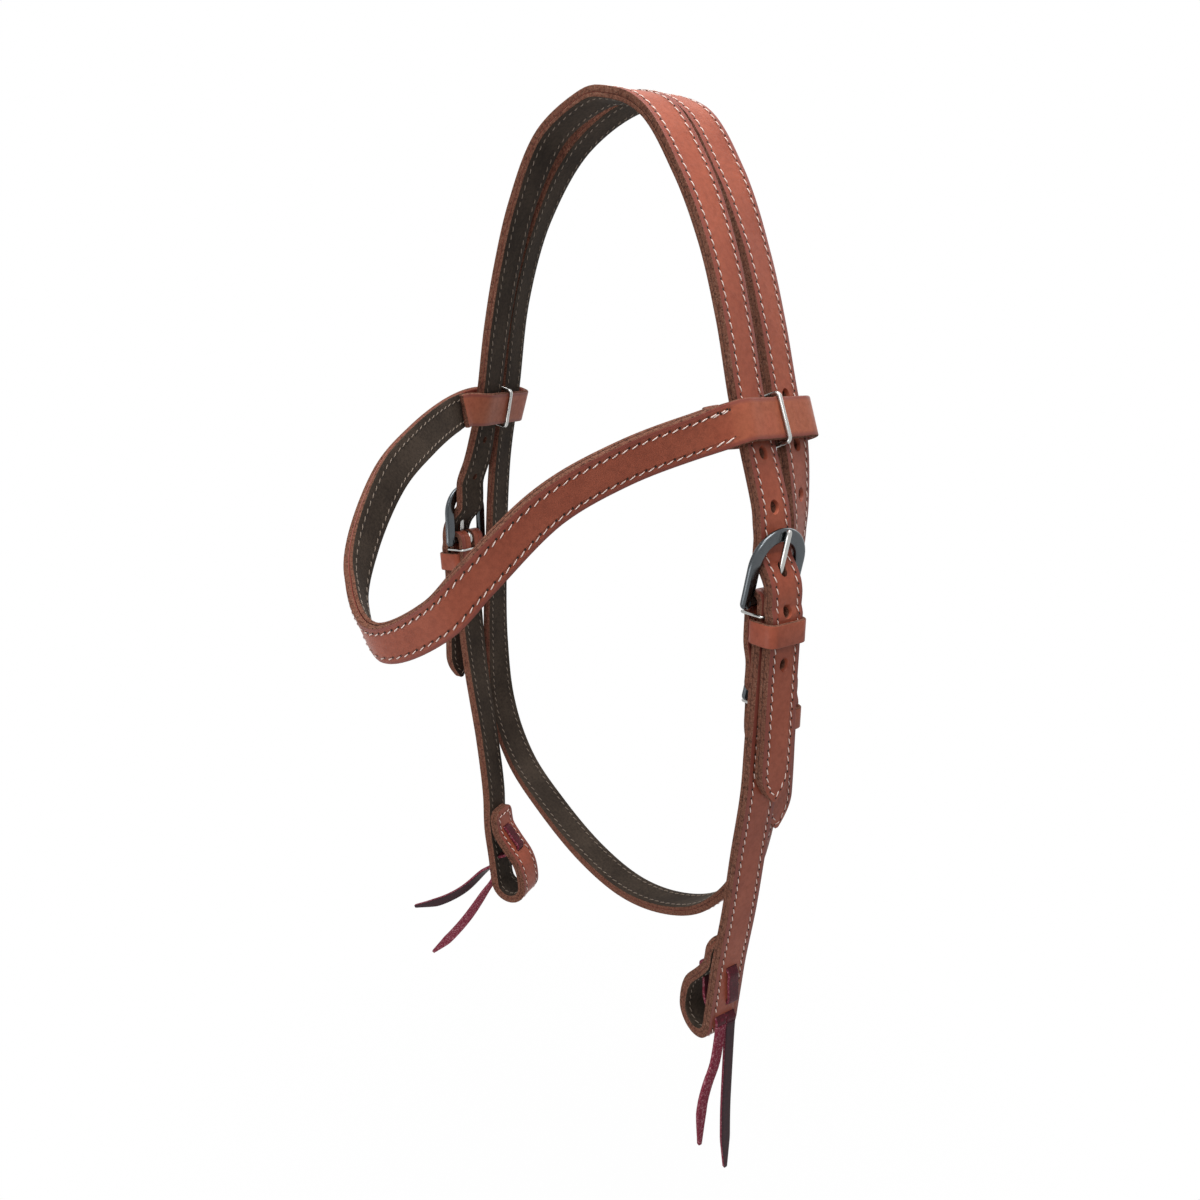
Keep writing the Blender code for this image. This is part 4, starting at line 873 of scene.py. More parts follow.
def finish_of(name):
    """A material that several pieces share, made once."""
    makers = {
        "edge": cut_edge,
        "lining": lining_leather,
        "thread": lambda: waxed_thread("waxed thread", colour("thread")),
        "lining-side thread": lambda: waxed_thread("lining-side thread", colour("thread_lining_side")),
        # The needle finish is the painted shade of the needle holes
        "needle": needle_hole_shade,
        # The frames' plate is darkened as a painted dark reflection
        "nickel": lambda: nickel_plate("nickel plate with painted dark reflection", colour("nickel")),
        "wire": lambda: nickel_plate("nickel wire", colour("nickel_wire")),
        "sewn": lambda: harness_leather("glazed harness leather", (-100.0, 5000.0)),
        "grain": lambda: latigo("latigo grain side", colour("lace_grain"), colour("lace_band"),
                                2.2, 0.46, 0.12),
        "band": lambda: latigo("latigo in its slots", colour("lace_band"), colour("lace_flesh"),
                               1.4, 0.55, 0.2),
        "flesh": lambda: latigo("latigo flesh side", colour("lace_flesh"), colour("lace_fibre"),
                                1.1, 0.9, 0.4),
    }
    if name not in MADE:
        MADE[name] = makers[name]()
    return MADE[name]


def dress(item, *names):
    """Give a piece its materials. A bare piece keeps each face's number of material."""
    if item.data.materials:
        item.data.materials.clear()
    for name in names:
        item.data.materials.append(finish_of(name) if isinstance(name, str) else name)


# Modelling

def only(item):
    """Deselect all and make one object the active one."""
    bpy.ops.object.select_all(action="DESELECT")
    item.select_set(True)
    bpy.context.view_layer.objects.active = item


def new_name(name):
    item = bpy.context.object
    item.name = name
    item.data.name = name
    return item


def apply_modifiers(item):
    only(item)
    for modifier in list(item.modifiers):
        bpy.ops.object.modifier_apply(modifier=modifier.name)


def smooth(item, degrees=40.0):
    only(item)
    bpy.ops.object.shade_smooth_by_angle(angle=math.radians(degrees), keep_sharp_edges=False)


def settle(item):
    """Move the object's place into its mesh."""
    only(item)
    bpy.ops.object.transform_apply(location=True, rotation=True, scale=True)


def end_marks(end):
    if end is pointed_end:
        return [BILLET_POINT * (step / 12) for step in range(1, 13)]
    if end is rounded_end:
        return [LEAF_ROUND * (1 - math.cos(math.pi / 2 * step / 6)) for step in range(1, 7)]
    return []


def stations(route, start, end, ends):
    """Distances of the rows of points along a run of leather."""
    first, last = end_marks(ends[0]), end_marks(ends[1])
    low = start + (first[-1] if first else 0.0) + 1.0
    high = end - (last[-1] if last else 0.0) - 1.0
    middle = [mark for mark in route.marks if low < mark < high]
    return sorted([start, end] + [start + mark for mark in first] + middle
                  + [end - mark for mark in last])


def strip(name, route, span, base, thick, width, ends, columns=STRAP_COLUMNS):
    """A flat run of leather along a route, with its place across and along in its UV map."""
    start, end = span
    marks = stations(route, start, end, ends)
    bpy.ops.object.select_all(action="DESELECT")
    bpy.ops.mesh.primitive_grid_add(x_subdivisions=columns, y_subdivisions=len(marks) - 1, size=2.0)
    item = new_name(name)
    mesh = item.data
    order = sorted(range(len(mesh.vertices)),
                   key=lambda number: (round(mesh.vertices[number].co.y, 5),
                                       mesh.vertices[number].co.x))
    across_count = len(order) // len(marks)
    spots = {}
    for row, mark in enumerate(marks):
        point, _along, across, out = route.frame(mark)
        half = width / 2 * ends[0](mark - start) * ends[1](end - mark)
        for column in range(across_count):
            number = order[row * across_count + column]
            side = 2 * column / (across_count - 1) - 1
            mesh.vertices[number].co = Vector((point + out * base + across * half * side) * MM)
            spots[number] = (half * side * MM, mark * MM)
    layer = mesh.uv_layers[0]
    layer.name = "strap"
    for loop in mesh.loops:
        layer.data[loop.index].uv = spots[loop.vertex_index]
    wall = item.modifiers.new("thickness", "SOLIDIFY")
    wall.thickness = abs(thick) * MM
    wall.offset = math.copysign(1.0, thick)
    wall.use_even_offset = True
    wall.material_offset_rim = 1
    return item


def round_edges(item, radius, segments=3, degrees=50.0):
    bevel = item.modifiers.new("rounded edge", "BEVEL")
    bevel.width = radius * MM
    bevel.segments = segments
    bevel.limit_method = "ANGLE"
    bevel.angle_limit = math.radians(degrees)
    bevel.use_clamp_overlap = True


def cut(item, cutter):
    """Take a cutter out of a piece. The cutter's faces become the cut's raw walls."""
    boolean = item.modifiers.new("cut", "BOOLEAN")
    boolean.operation = "DIFFERENCE"
    boolean.solver = "EXACT"
    boolean.object = cutter


def remove(items):
    for item in items:
        bpy.data.objects.remove(item)


def edge_walls(cutter):
    """Give all of a cutter's faces the second material, the cut edge."""
    dress(cutter, "sewn", "edge")
    for polygon in cutter.data.polygons:
        polygon.material_index = 1
    return cutter


def tongue_slot(place, low, high, below, above):
    """A round-ended block along the tongue, opening upwards to leave room for its swing."""
    half = TONGUE_RADIUS + TONGUE_SIDE_PLAY
    bpy.ops.object.select_all(action="DESELECT")
    bpy.ops.mesh.primitive_cylinder_add(vertices=24, radius=half * MM, depth=1.0)
    item = new_name("tongue slot")
    for vertex in item.data.vertices:
        up = high if vertex.co.z > 0 else low
        swing = max(up, 0.0) * math.tan(math.radians(SWING_PLAY))
        middle = above + swing - half if vertex.co.x > 0 else below + half
        vertex.co = Vector((vertex.co.x + middle * MM, vertex.co.y, up * MM))
    item.data.transform(place.matrix())
    return edge_walls(item)


def billet_slot(place):
    above = TONGUE_EYE + TONGUE_RADIUS + 0.4
    return tongue_slot(place, *BILLET_SLOT, BAR_RADIUS + GAP - 1.0, above)


def fold_slot(place):
    depth = FOLD_RADIUS + size("outer_thick") + 1.0
    return tongue_slot(place, -depth + 0.4, depth, -depth, depth)


def turned(name, profile, steps):
    """A closed solid turned about Z from a profile of radius and height in millimetres."""
    bpy.ops.object.select_all(action="DESELECT")
    bpy.ops.mesh.primitive_circle_add(vertices=len(profile), radius=1.0)
    item = new_name(name)
    for vertex, (radius, height) in zip(item.data.vertices, profile):
        vertex.co = Vector((radius, 0.0, height)) * MM
    spin = item.modifiers.new("turned", "SCREW")
    spin.steps = spin.render_steps = steps
    spin.use_merge_vertices = True
    spin.merge_threshold = 0.001 * MM
    apply_modifiers(item)
    bpy.ops.object.mode_set(mode="EDIT")
    bpy.ops.mesh.select_all(action="SELECT")
    bpy.ops.mesh.delete_loose()
    bpy.ops.mesh.normals_make_consistent(inside=False)
    bpy.ops.object.mode_set(mode="OBJECT")
    return item


def punch(route, distances):
    """Punches for a row of holes, each a little oval, with the grain pressed in at its mouth."""
    face, radius = size("outer_thick"), size("hole_radius")
    profile = [(0.0, -lining_back() - 1.0), (0.72 * radius, -lining_back() - 1.0),
               (0.95 * radius, face - 1.5), (1.24 * radius, face), (1.4 * radius, face + 0.5),
               (0.0, face + 0.5)]
    punches = []
    for distance in distances:
        point, along, across, out = route.frame(distance)
        item = turned("hole punch", profile, 28)
        edge_walls(item)
        for polygon in item.data.polygons:
            if polygon.center.z > (face - MOUTH_DEPTH) * MM:
                polygon.material_index = 0
        item.data.transform(Matrix.Diagonal((*HOLE_OVAL, 1.0, 1.0)))
        turn = Matrix([Vector(along), Vector(-across), Vector(out)]).transposed()
        item.data.transform(Matrix.Translation(Vector(point * MM)) @ turn.to_4x4())
        punches.append(item)
    return punches


def stitch_pattern():
    """One stitch lying along X: a plump thread that dips down at its end, with a dark disc beyond
    it that paints the needle hole's shade.
    """
    bpy.ops.object.select_all(action="DESELECT")
    bpy.ops.mesh.primitive_uv_sphere_add(segments=6, ring_count=6, radius=0.5)
    thread = new_name("stitch")
    thread.data.transform(Matrix.Rotation(math.pi / 2, 4, "Y"))
    for vertex in thread.data.vertices:
        share = vertex.co.x * 2
        vertex.co.x = size("stitch_length") / 2 * MM * math.copysign(abs(share) ** 0.75, share)
        vertex.co.y *= size("thread_width") * MM * 1.05
        vertex.co.z *= size("thread_width") * MM * 0.95
        vertex.co.z += (0.2 - 0.42 * share ** 4) * MM * 0.75
    dress(thread, "thread", "needle")
    bpy.ops.object.select_all(action="DESELECT")
    # The needle hole is painted shade: a dark disc just above the leather's face
    bpy.ops.mesh.primitive_circle_add(vertices=8, radius=NEEDLE_SHADE_RADIUS * MM, fill_type="NGON")
    hole = new_name("needle hole")
    place = Vector((size("stitch_pitch") / 2, 0.0, NEEDLE_SHADE_LIFT)) * MM
    hole.data.transform(Matrix.Translation(place))
    dress(hole, "thread", "needle")
    hole.data.polygons[0].material_index = 1
    hole.select_set(True)
    thread.select_set(True)
    bpy.context.view_layer.objects.active = thread
    bpy.ops.object.join()
    return thread


def seam_paths(span, width, ends, closed):
    """Stitch rows of a strap as points (along, across). Closed ends join the two rows."""
    start, end = span
    inset = size("stitch_inset")
    points = []
    for distance in np.arange(start + inset, end - inset + 0.01, 1.0):
        half = width / 2 * ends[0](distance - start) * ends[1](end - distance) - inset
        if half > 0.4:
            points.append((distance, half))
    near = [(distance, -half) for distance, half in points]
    far = points[::-1]
    if closed == (True, True):
        return [near + far + near[:1]]
    if closed[1]:
        return [near + far]
    if closed[0]:
        return [far + near]
    return [near, points]


def back_stitched(rows, over):
    """Rows with a short second row over each end, where the machine ran back and forth."""
    extra = []
    for row in rows:
        shift = -0.5 if row[0][1] > 0 else 0.5
        for low, high in ((0, over), (len(row) - over, len(row))):
            extra.append([(along + 1.2, across + shift) for along, across in row[low:high]])
    return rows + extra


def sew(name, pattern, route, paths, height, facing, lace=None):
    """Copies of a stitch along rows on one face of a strap, as one object.

    Stitches that would lie under the lace or across its slots are left out."""
    body = bmesh.new()
    clear = size("lace_width") / 2 + 0.9
    count = len(pattern.data.vertices)
    for path in paths:
        line = np.array(path)
        steps = np.linalg.norm(np.diff(line, axis=0), axis=1)
        reach = np.concatenate(([0.0], np.cumsum(steps)))
        number = max(int(reach[-1] / size("stitch_pitch")), 1)
        spots = (np.arange(number) + 0.5) * reach[-1] / number
        for spot in spots:
            along_at, across_at = (np.interp(spot, reach, line[:, axis]) for axis in (0, 1))
            ahead = (np.interp(spot + 0.6, reach, line[:, 0]) - along_at,
                     np.interp(spot + 0.6, reach, line[:, 1]) - across_at)
            point, along, across, out = route.frame(along_at)
            up = out * facing
            heading = unit(along * ahead[0] + across * ahead[1])
            sideways = np.cross(up, heading)
            slant = bpy.context.scene.bridle_sizes.stitch_slant
            forward = math.cos(slant) * heading + math.sin(slant) * sideways
            columns = (forward, np.cross(up, forward), up)
            turn = Matrix([Vector(column) for column in columns]).transposed().to_4x4()
            centre = point + across * across_at + out * height
            if lace and np.linalg.norm(lace.points - centre, axis=1).min() < clear:
                continue
            body.from_mesh(pattern.data)
            body.verts.ensure_lookup_table()
            bmesh.ops.transform(body, matrix=Matrix.Translation(Vector(centre * MM)) @ turn,
                                verts=body.verts[-count:])
    mesh = bpy.data.meshes.new(name)
    body.to_mesh(mesh)
    body.free()
    item = bpy.data.objects.new(name, mesh)
    bpy.context.scene.collection.objects.link(item)
    # The needle finish paints the needle holes' shade
    dress(item, "thread" if facing > 0 else "lining-side thread", "needle")
    for polygon in mesh.polygons:
        polygon.use_smooth = True
    return item


class StrapWork:
    """One lined strap: its two layers, its cuts and its stitching."""

    def __init__(self, name, node, body, route, width):
        self.name = name
        self.node = node
        self.body = body
        self.route = route
        self.width = width

    def layer(self, suffix, span, base, thick, ends, finishes, cutters):
        item = strip(f"{self.name}_{suffix}", self.route, span, base, thick, self.width, ends)
        round_edges(item, size("edge_round") if thick > 0 else 0.4)
        for cutter in cutters:
            cut(item, cutter)
        dress(item, *finishes)
        apply_modifiers(item)
        smooth(item)
        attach(item, self.body)
        return item

    def outer(self, span, ends, cutters, leather="sewn"):
        item = self.layer("leather", span, 0.0, size("outer_thick"), ends, (leather, "edge"),
                          cutters)
        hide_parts(self.node + "_strap")
        return item

    def lining(self, span, ends, cutters):
        item = self.layer("inner_lining", span, -GAP * 0.4, -size("lining_thick") - GAP * 0.6,
                          ends, ("lining", "edge"), cutters)
        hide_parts(self.node + "_lining")
        return item

    def stitches(self, suffix, pattern, paths, height, facing, lace):
        item = sew(f"{self.name}_{suffix}", pattern, self.route, paths, height, facing, lace)
        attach(item, self.body)
        return item


def both_faces(work, pattern, outer_paths, lining_paths, lace=None, lift=0.0):
    work.stitches("stitches", pattern, outer_paths, size("outer_thick") + lift, 1, lace)
    work.stitches("lining_stitches", pattern, lining_paths, -lining_back(), -1, lace)


def holes_beside(tongue_spot, pitch, numbers, direction):
    """Distances of the punched holes, counted up the strap from the tongue's own hole."""
    return [tongue_spot + direction * pitch * number for number in numbers]


def build_crown(pattern):
    route = crown_route()
    holes = []
    for place, direction in ((LEFT_FRAME, 1), (RIGHT_FRAME, -1)):
        tongue_spot = route.nearest(place.at(*CROWN_SPOT))
        holes += holes_beside(tongue_spot, CROWN_HOLE_PITCH, CROWN_HOLES, direction)
    cutters = punch(route, holes) + [billet_slot(LEFT_FRAME), billet_slot(RIGHT_FRAME)]
    work = StrapWork("crown", "crown", "headstall", route, size("strap_width"))
    span, ends = (0.0, route.length), (pointed_end, pointed_end)
    work.outer(span, ends, cutters)
    work.lining(span, ends, cutters)
    remove(cutters)
    paths = seam_paths(span, work.width, ends, (True, True))
    both_faces(work, pattern, paths, paths)


def build_throatlatch(pattern):
    route = throat_route()
    tongue_spot = route.nearest(THROAT_FRAME.at(*THROAT_SPOT))
    holes = holes_beside(tongue_spot, THROAT_HOLE_PITCH, THROAT_HOLES, 1)
    cutters = punch(route, holes) + [billet_slot(THROAT_FRAME)]
    fold = fold_slot(THROAT_HANG)
    work = StrapWork("throatlatch", "throatlatch", "headstall", route, size("strap_width"))
    lining_end = route.nearest(THROAT_HANG.at(-LINING_START, FOLD_RADIUS))
    leaf_start = route.nearest(THROAT_HANG.at(-LINING_START, -FOLD_RADIUS))
    ends = (pointed_end, rounded_end)
    work.outer((0.0, route.length), ends, cutters + [fold])
    work.lining((0.0, lining_end), (pointed_end, square_end), cutters)
    remove(cutters + [fold])
    run = seam_paths((0.0, lining_end + 3.0), work.width, (pointed_end, square_end), (True, False))
    leaf = seam_paths((leaf_start, route.length), work.width, (square_end, rounded_end),
                      (False, True))
    both_faces(work, pattern, run + leaf, run)


def build_browband(pattern):
    route, lined, rings = browband_route(crown_route(), throat_route())
    work = StrapWork("browband", "browband", "browband", route, size("strap_width"))
    square = (square_end, square_end)
    leather = harness_leather("glazed browband leather", (lined[0] - 2.0, lined[1] + 2.0))
    work.outer((0.0, route.length), square, [], leather)
    work.lining(tuple(lined), square, [])
    paths = seam_paths((lined[0] - 5.0, lined[1] + 5.0), work.width, square, (False, False))
    paths = back_stitched(paths, BACK_STITCHES)
    inner = seam_paths(tuple(lined), work.width, square, (False, False))
    both_faces(work, pattern, paths, inner, lift=0.15)
    return rings


def build_cheek(name, side, hang, loop, course, yaw_low, lace_line, tails, twist, pattern):
    route = cheek_route(side, hang, loop, course, yaw_low)
    lining_spot = route.nearest(hang.at(-LINING_START, FOLD_RADIUS))
    leaf_spot = route.nearest(hang.at(-LINING_START, -FOLD_RADIUS))
    whole = (0.0, route.length)
    lined = (0.0, lining_spot) if side > 0 else (lining_spot, route.length)
    leaf = (leaf_spot, route.length) if side > 0 else (0.0, leaf_spot)
    tip_ends = (rounded_end, square_end)[::side]
    leaf_ends = (square_end, rounded_end)[::side]
    work = StrapWork(name + "_cheek", name + "_cheek", "headstall", route, size("strap_width"))
    lace = lace_route(loop, lace_line)
    room = strip("lace slot", lace, (0.0, lace.length), -LACE_THICK / 2 - LACE_ROOM,
                 LACE_THICK + 2 * LACE_ROOM, size("lace_width") + 2 * LACE_ROOM,
                 (square_end, square_end), 1)
    apply_modifiers(room)
    edge_walls(room)
    fold = fold_slot(hang)
    work.outer(whole, (rounded_end, rounded_end), [fold, room])
    work.lining(lined, tip_ends, [room])
    remove([room, fold])
    run = seam_paths(lined, work.width, tip_ends, (side > 0, side < 0))
    back = seam_paths(leaf, work.width, leaf_ends, (side < 0, side > 0))
    both_faces(work, pattern, run + back, run, lace)
    build_tie(name, loop, lace, tails, twist)


def build_tie(name, loop, lace, tails, twist):
    """The threaded lace and its two free tails, one of them rough side out.

    Twist is the direction that a tail's width has turned to by its tip."""
    square = (square_end, square_end)
    item = strip(name + "_latigo_tie", lace, (0.0, lace.length), -LACE_THICK / 2, LACE_THICK,
                 size("lace_width"), square, 4)
    round_edges(item, 0.5)
    dress(item, "band", "flesh")
    apply_modifiers(item)
    smooth(item)
    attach(item, "headstall")
    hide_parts(name + "_tie_lace")
    for node, steps in tails.items():
        rough = "rough" in node
        point, along, _across, _out = lace.frame(0.0 if rough else lace.length)
        away = -along if rough else along
        start = point + away * GAP
        across = tuple(loop.across)
        stops = [stop(start, across), stop(start + 4.0 * away, across)]
        for number, step in enumerate(steps):
            share = min(1.5 * (number + 1) / len(steps), 1.0)
            turn = unit((1 - share) * np.array(across) + share * np.array(twist))
            stops.append(stop(start + np.array(step, float), tuple(turn)))
        route = Route(stops)
        tail = strip(node.replace("tie_tail", "latigo_tail"), route, (0.0, route.length),
                     -LACE_THICK / 2, LACE_THICK, size("lace_width"), (square_end, lace_end), 4)
        round_edges(tail, 0.5)
        dress(tail, *(("flesh", "flesh") if rough else ("grain", "flesh")))
        apply_modifiers(tail)
        smooth(tail)
        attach(tail, "headstall")
        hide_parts(node)
        size("lace_width") * MM


def wire(name, points, radius, closed, body, node, taper=None):
    """A round wire along points in metres, made a mesh. Taper thins it point by point."""
    curve = bpy.data.curves.new(name, "CURVE")
    curve.dimensions = "3D"
    curve.bevel_depth = radius * MM
    curve.bevel_resolution = 6
    curve.use_fill_caps = True
    spline = curve.splines.new("POLY")
    spline.points.add(len(points) - 1)
    for number, point in enumerate(points):
        spline.points[number].co = (*point, 1.0)
        spline.points[number].radius = taper[number] if taper else 1.0
    spline.use_cyclic_u = closed
    item = bpy.data.objects.new(name, curve)
    bpy.context.scene.collection.objects.link(item)
    only(item)
    bpy.ops.object.convert(target="MESH")
    item = new_name(name)
    dress(item, "wire")
    smooth(item, 50.0)
    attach(item, body)
    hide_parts(node)


def frame_outline():
    """Closed outline of the frame's two rails and arch, in across and up."""
    outer = size("frame_width") / 2
    inner = outer - size("rail_width")
    heel = size("rail_width") / 2
    middle = outer - heel
    points = arc((0, FRAME_ARCH_HEIGHT), outer, 0, 180, 40)
    points += arc((-middle, 0), heel, 180, 360, 12)
    points += arc((0, FRAME_ARCH_HEIGHT), inner, 180, 0, 32)
    points += arc((middle, 0), heel, 180, 360, 12)
    return points


def build_buckle(name, place):
    """A round-topped frame with its heel bar, and the tongue bent round the bar."""
    thick, edge = size("frame_thick"), FRAME_EDGE
    curve = bpy.data.curves.new(name, "CURVE")
    curve.dimensions = "2D"
    curve.fill_mode = "BOTH"
    curve.extrude = (thick / 2 - edge) * MM
    curve.bevel_depth = edge * MM
    curve.bevel_resolution = 6
    curve.offset = -edge * MM
    spline = curve.splines.new("POLY")
    outline = frame_outline()
    spline.points.add(len(outline) - 1)
    for number, (across, up) in enumerate(outline):
        spline.points[number].co = (across * MM, up * MM, 0.0, 1.0)
    spline.use_cyclic_u = True
    rails = bpy.data.objects.new(name + "_frame", curve)
    bpy.context.scene.collection.objects.link(rails)
    only(rails)
    bpy.ops.object.convert(target="MESH")
    rails = new_name(name + "_frame_plated")
    rails.data.transform(Matrix(((0, 0, 1), (1, 0, 0), (0, 1, 0))).to_4x4())
    inner = size("frame_width") / 2 - size("rail_width")
    bpy.ops.object.select_all(action="DESELECT")
    bpy.ops.mesh.primitive_cylinder_add(vertices=32, radius=BAR_RADIUS * MM,
                                        depth=2 * (inner + BAR_IN_RAIL) * MM,
                                        rotation=(math.pi / 2, 0.0, 0.0))
    bar = new_name(name + "_bar")
    settle(bar)
    join = rails.modifiers.new("heel bar", "BOOLEAN")
    join.operation = "UNION"
    join.solver = "EXACT"
    join.object = bar
    dress(rails, "nickel")
    dress(bar, "nickel")
    apply_modifiers(rails)
    remove([bar])
    rails.data.transform(place.matrix())
    smooth(rails, 45.0)
    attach(rails, name + "_frame")
    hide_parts(name + "_buckle_frame")
    build_tongue(name, place)


def build_tongue(name, place):
    eye = arc((0, 0), TONGUE_EYE, 85, 360, 36)
    rest = size("frame_thick") / 2 + GAP + TONGUE_RADIUS
    tip = FRAME_ARCH_HEIGHT + size("frame_width") / 2 - size("rail_width") / 2 + TONGUE_OVERHANG
    line = eye + [(TONGUE_EYE - 0.05, 4.0), (rest, FRAME_ARCH_HEIGHT * 0.6),
                  (rest, FRAME_ARCH_HEIGHT), (rest, tip - 2.6), (rest, tip - 1.2),
                  (rest, tip - 0.4), (rest, tip)]
    taper = [1.0] * (len(line) - 3) + [0.95, 0.75, 0.3]
    points = [tuple(place.matrix() @ Vector((out * MM, 0.0, up * MM))) for out, up in line]
    wire(name + "_tongue_plated", points, TONGUE_RADIUS, False, name + "_tongue",
         name + "_buckle_tongue", taper)


def build_keeper(name, hang):
    """A leather band round the strap, the billet and the run behind."""
    near = FOLD_RADIUS - lining_back() - GAP
    outline = rounded_box(KEEPER_ROOM / 2, size("strap_width") / 2 + KEEPER_SIDE_PLAY,
                          KEEPER_CORNER, 8)
    bpy.ops.object.select_all(action="DESELECT")
    bpy.ops.mesh.primitive_cylinder_add(vertices=len(outline), radius=1.0, depth=1.0,
                                        end_fill_type="NOTHING")
    item = new_name(name + "_leather_keeper")
    outline.sort(key=lambda point: math.atan2(point[1], point[0]))
    for low in (True, False):
        rim = [vertex for vertex in item.data.vertices if (vertex.co.z < 0) is low]
        rim.sort(key=lambda vertex: math.atan2(vertex.co.y, vertex.co.x))
        for vertex, (out, across) in zip(rim, outline):
            height = -KEEPER_DROP - (KEEPER_HEIGHT if low else 0.0)
            vertex.co = Vector((near + KEEPER_ROOM / 2 + out, across, height)) * MM
    only(item)
    bpy.ops.object.mode_set(mode="EDIT")
    bpy.ops.mesh.select_all(action="SELECT")
    bpy.ops.mesh.normals_make_consistent(inside=False)
    bpy.ops.object.mode_set(mode="OBJECT")
    wall = item.modifiers.new("thickness", "SOLIDIFY")
    wall.thickness = KEEPER_THICK * MM
    wall.offset = 1.0
    wall.use_even_offset = True
    wall.material_offset_rim = 1
    round_edges(item, 0.55, 3, 60.0)
    dress(item, "sewn", "edge")
    apply_modifiers(item)
    item.data.transform(hang.matrix())
    layer = item.data.uv_layers[0]
    layer.name = "strap"
    for spot in layer.data:
        spot.uv = (0.0, 0.1)  # mid strap, away from the shade of seams and edges
    smooth(item, 45.0)
    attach(item, "headstall")
    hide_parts(name + "_keeper")


def build_turnover(name, hang):
    """The wire round the strap and its turned-back leaf, just under the bar."""
    half_out = FOLD_RADIUS + size("outer_thick") + GAP + STAPLE_RADIUS
    half_across = size("strap_width") / 2 + GAP + STAPLE_RADIUS
    outline = rounded_box(half_out, half_across, WIRE_CORNER, 8)
    points = [tuple(hang.matrix() @ Vector((out * MM, across * MM, -STAPLE_DROP * MM)))
              for out, across in outline]
    wire(name + "_turnover_wire", points, STAPLE_RADIUS, True, "headstall",
         name + "_turnover_staple")


def build_band_staple(name, ring):
    """The wire that pinches a browband loop between the crown strap and the throatlatch."""
    centre, outward, leg, half = ring
    reach_out = half + size("outer_thick") + GAP + BAND_STAPLE_RADIUS
    reach_down = size("strap_width") / 2 + GAP + BAND_STAPLE_RADIUS + BAND_STAPLE_SPREAD
    points = [tuple((centre + out * outward + fall * leg) * MM)
              for out, fall in rounded_box(reach_out, reach_down, BAND_WIRE_CORNER, 8)]
    wire(name + "_band_wire", points, BAND_STAPLE_RADIUS + BAND_WIRE_EXTRA, True, "browband",
         name + "_browband_staple")


def shared_pattern():
    """The stitch that all rows copy."""
    return bpy.data.objects.get("stitch") or stitch_pattern()


class BRIDLE_OT_crown(Operator):
    """Crown strap over the poll, with a billet at each end"""

    bl_idname = "bridle.crown"
    bl_label = "Crown Strap"

    def execute(self, context):
        build_crown(shared_pattern())
        return {"FINISHED"}


class BRIDLE_OT_throatlatch(Operator):
    """Throatlatch over the poll and under the jaw"""

    bl_idname = "bridle.throatlatch"
    bl_label = "Throatlatch"

    def execute(self, context):
        build_throatlatch(shared_pattern())
        return {"FINISHED"}


class BRIDLE_OT_browband(Operator):
    """Browband with its two loops and their wire staples"""

    bl_idname = "bridle.browband"
    bl_label = "Browband"

    def execute(self, context):
        rings = build_browband(shared_pattern())
        build_band_staple("left", rings[1])
        build_band_staple("right", rings[-1])
        return {"FINISHED"}


class BRIDLE_OT_cheeks(Operator):
    """Both cheekpieces with their bit loops and latigo ties"""

    bl_idname = "bridle.cheeks"
    bl_label = "Cheekpieces and Ties"

    def execute(self, context):
        pattern = shared_pattern()
        build_cheek("left", 1, LEFT_HANG, LEFT_LOOP, LEFT_COURSE, 11.0, LEFT_LACE, LEFT_TAILS,
                    LEFT_TWIST, pattern)
        build_cheek("right", -1, RIGHT_HANG, RIGHT_LOOP, RIGHT_COURSE, 22.0, RIGHT_LACE,
                    RIGHT_TAILS, RIGHT_TWIST, pattern)
        return {"FINISHED"}


class BRIDLE_OT_buckles(Operator):
    """The three buckles with their tongues"""

    bl_idname = "bridle.buckles"
    bl_label = "Buckles"

    def execute(self, context):
        build_buckle("left", LEFT_FRAME)
        build_buckle("right", RIGHT_FRAME)
        build_buckle("throatlatch", THROAT_FRAME)
        return {"FINISHED"}


class BRIDLE_OT_keepers(Operator):
    """Leather keepers and the wires that hold the turned-back ends"""

    bl_idname = "bridle.keepers"
    bl_label = "Keepers and Turnover Wires"

    def execute(self, context):
        for name, hang in (("left", LEFT_HANG), ("right", RIGHT_HANG),
                           ("throatlatch", THROAT_HANG)):
            build_keeper(name, hang)
            build_turnover(name, hang)
        return {"FINISHED"}


class BRIDLE_OT_stage(Operator):
    """Camera, pale floor and soft light"""

    bl_idname = "bridle.stage"
    bl_label = "Stage"

    def execute(self, context):
        stage = context.scene.bridle_stage
        build_camera(stage)
        build_floor(stage)
        build_lights(stage)
        build_world(stage)
        context.scene.view_settings.view_transform = "Standard"
        return {"FINISHED"}


def build_camera(stage):
    camera = bpy.data.cameras.new("camera")
    camera.lens = stage.lens
    camera.sensor_width = 36.0
    camera.clip_start = 0.01
    camera.clip_end = 50.0
    item = bpy.data.objects.new("camera", camera)
    bpy.context.scene.collection.objects.link(item)
    item.location = (stage.camera_side, -stage.camera_front, -stage.camera_drop)
    item.rotation_euler = (math.pi / 2 - stage.camera_pitch, 0.0, stage.camera_turn)
    bpy.context.scene.camera = item


